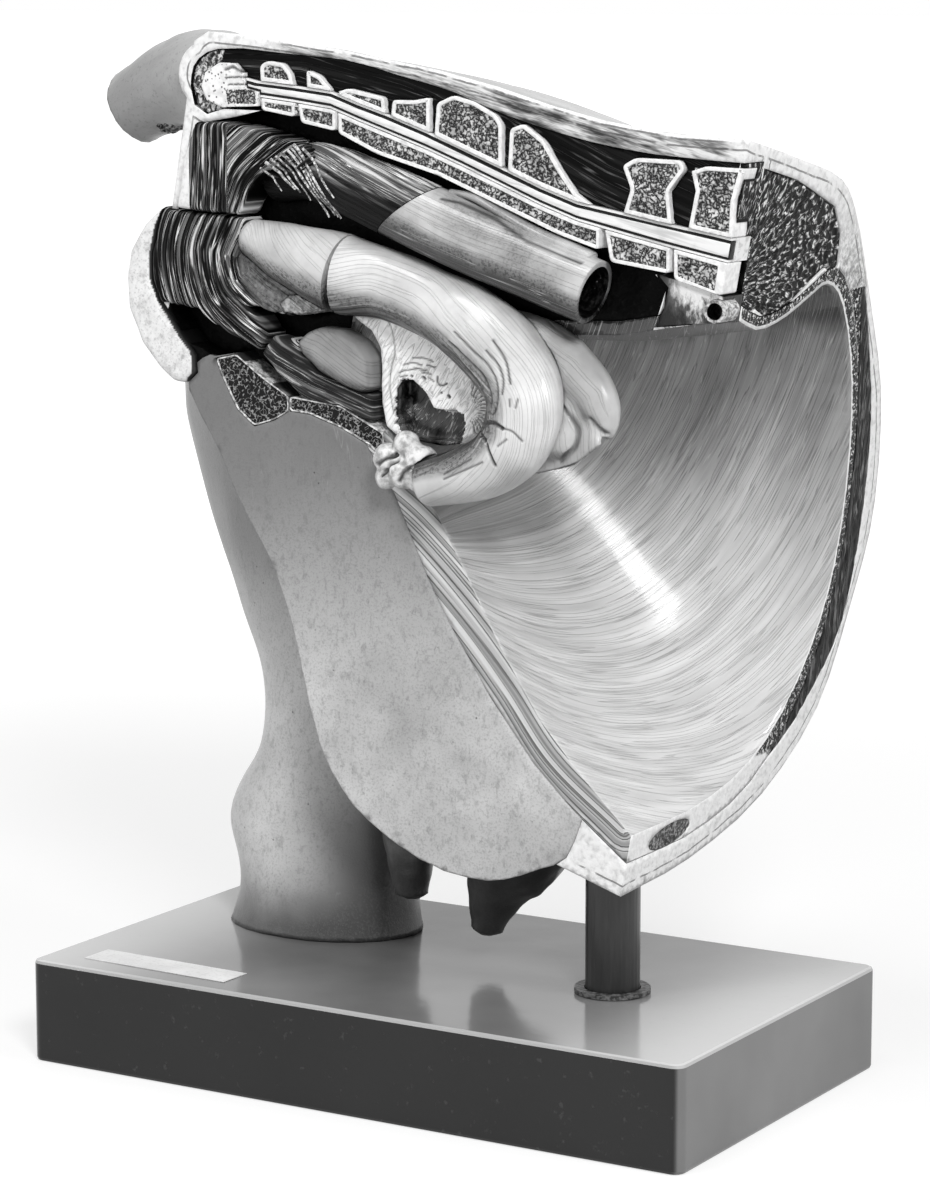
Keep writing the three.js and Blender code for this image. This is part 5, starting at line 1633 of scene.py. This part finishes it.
def make_bladder():
    # the underside is marked inner, for painted shade
    bm = marked_by(moulded("bladder", 0.6, 10), "inner", lambda v: max(0.0, -v.normal.z))
    followed(bm, BLADDER_LINE)
    roughened(bm, 8, 0.4)
    finish = organ_paint("bladder_paint", 0.6, 0.4, 0.16, striae=0.2, shift=0.2, coat=0.1)
    shown("bladder_skin", bm, [finish], "bladder_block", ["bladder"])

    bm = followed(moulded("urethra", 0.55, 3), URETHRA_LINE)
    ribbed(bm, 0.7, 1.9)
    shaded_hollows(bm, 0.4, 8, 0.6)
    finish = muscle_paint("urethra_paint", 0.14, 0.5, 0.8, 520, 0.04, 0.035, 0.0003, share=0.8)
    shown("urethra_fibres", bm, [finish], "bladder_block", ["urethra"])


def make_bed():
    # the bed behind the organs is painted black as shade
    bm = refined(copied("pelvic_bed"), 0.003)
    roughened(bm, 5, 0.8, [v for v in bm.verts if all(f.normal.y < -0.5 for f in v.link_faces)])
    shown("pelvic_bed_floor", bm, [bed_shade_finish], "model", ["pelvic_bed"])


LABEL_LENGTH = 58
LABEL_WIDTH = 13
LABEL_PLACE = (-79.5, -54, BLOCK_TOP + 0.28)
LABEL_TURN = math.radians(-1.5)


def lay_label():
    """The blank strip on the block's top: a thin plate with nothing on it."""
    bm = bmesh.new()
    bmesh.ops.create_grid(bm, x_segments=56, y_segments=12, size=0.5)
    bmesh.ops.scale(bm, vec=(LABEL_LENGTH * MM, LABEL_WIDTH * MM, 1), verts=bm.verts)
    bmesh.ops.rotate(bm, cent=(0, 0, 0), matrix=Matrix.Rotation(LABEL_TURN, 3, "Z"), verts=bm.verts)
    bmesh.ops.translate(bm, vec=Vector(LABEL_PLACE) * MM, verts=bm.verts)
    for v in bm.verts:
        v.co.z += noise.noise(v.co * 90) * 0.05 * MM
    bmesh.ops.solidify(bm, geom=bm.faces[:], thickness=0.2 * MM)
    bmesh.ops.recalc_face_normals(bm, faces=bm.faces)
    shown("blank_label", bm, [blank_label_paint()], "model", [])


# ---- Assembly

set_view()
set_surroundings()
lay_floor()

# painted shade: near-black paint for the deep space behind the organs
bed_shade_finish = speckle_paint("bed_paint", 500, [(0.35, 0.005), (0.6, 0.02), (0.75, 0.08)], specular=0.08)
bore_shade_finish = bore_shade_paint()
skin_edge = skin_edge_paint()
loin_finish = loin_paint()
steel_finish = grained("steel", 1200, 2, [(0.3, 0.62), (0.7, 0.76)], 0.00003, roughness=0.3, metallic=1.0)
felt_finish = grained("felt", 1800, 4, [(0.3, 0.12), (0.7, 0.26)], 0.0004, roughness=0.95, specular=0.1)
canal_finish = speckle_paint("canal_paint", 420, [(0.34, 0.78), (0.52, 0.93)], 0.0002, 0.45, (0.06, 1, 1),
                             turn=-0.24)
cord_border = speckle_paint("cord_border_paint", 900, [(0.4, 0.03), (0.7, 0.09)], 0.0001, 0.5)
finishes = {
    "base_board": lacquered_block(),
    "support_rod": grained("black_rod", 900, 3, [(0.35, 0.06), (0.7, 0.13)], 0.00005, (1, 1, 0.08),
                           roughness=0.34, coat=0.2),
    "rod_collar": grained("rod_collar_paint", 700, 4, [(0.44, 0.14), (0.5, 0.3), (0.62, 0.4)], 0.0004,
                          roughness=0.5),
    "spinal_canal": canal_finish, "psoas_muscle": psoas_paint(),
    "belly_muscle": speckle_paint("belly_muscle_paint", 800, [(0.4, 0.12), (0.52, 0.35), (0.62, 0.6)]),
}
for i in range(1, 5):
    finishes[f"felt_pad_{i}"] = felt_finish
for name in ("rod_washer", "rod_nut", "leg_screw_1", "leg_screw_2", "rectum_pin", "vagina_pin",
             "uterus_pin", "bladder_pin"):
    finishes[name] = steel_finish
for name, material in finishes.items():
    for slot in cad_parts[name].material_slots:
        slot.material = material

for make in (make_casting, make_wall, make_udder, make_tail, make_bones, make_cord, make_loin,
             make_flank, make_back_muscle, make_aorta, make_sphincter, make_rectum, make_labium,
             make_vestibule, make_vagina, make_womb, make_ligament, make_bladder, make_bed, lay_label):
    make()
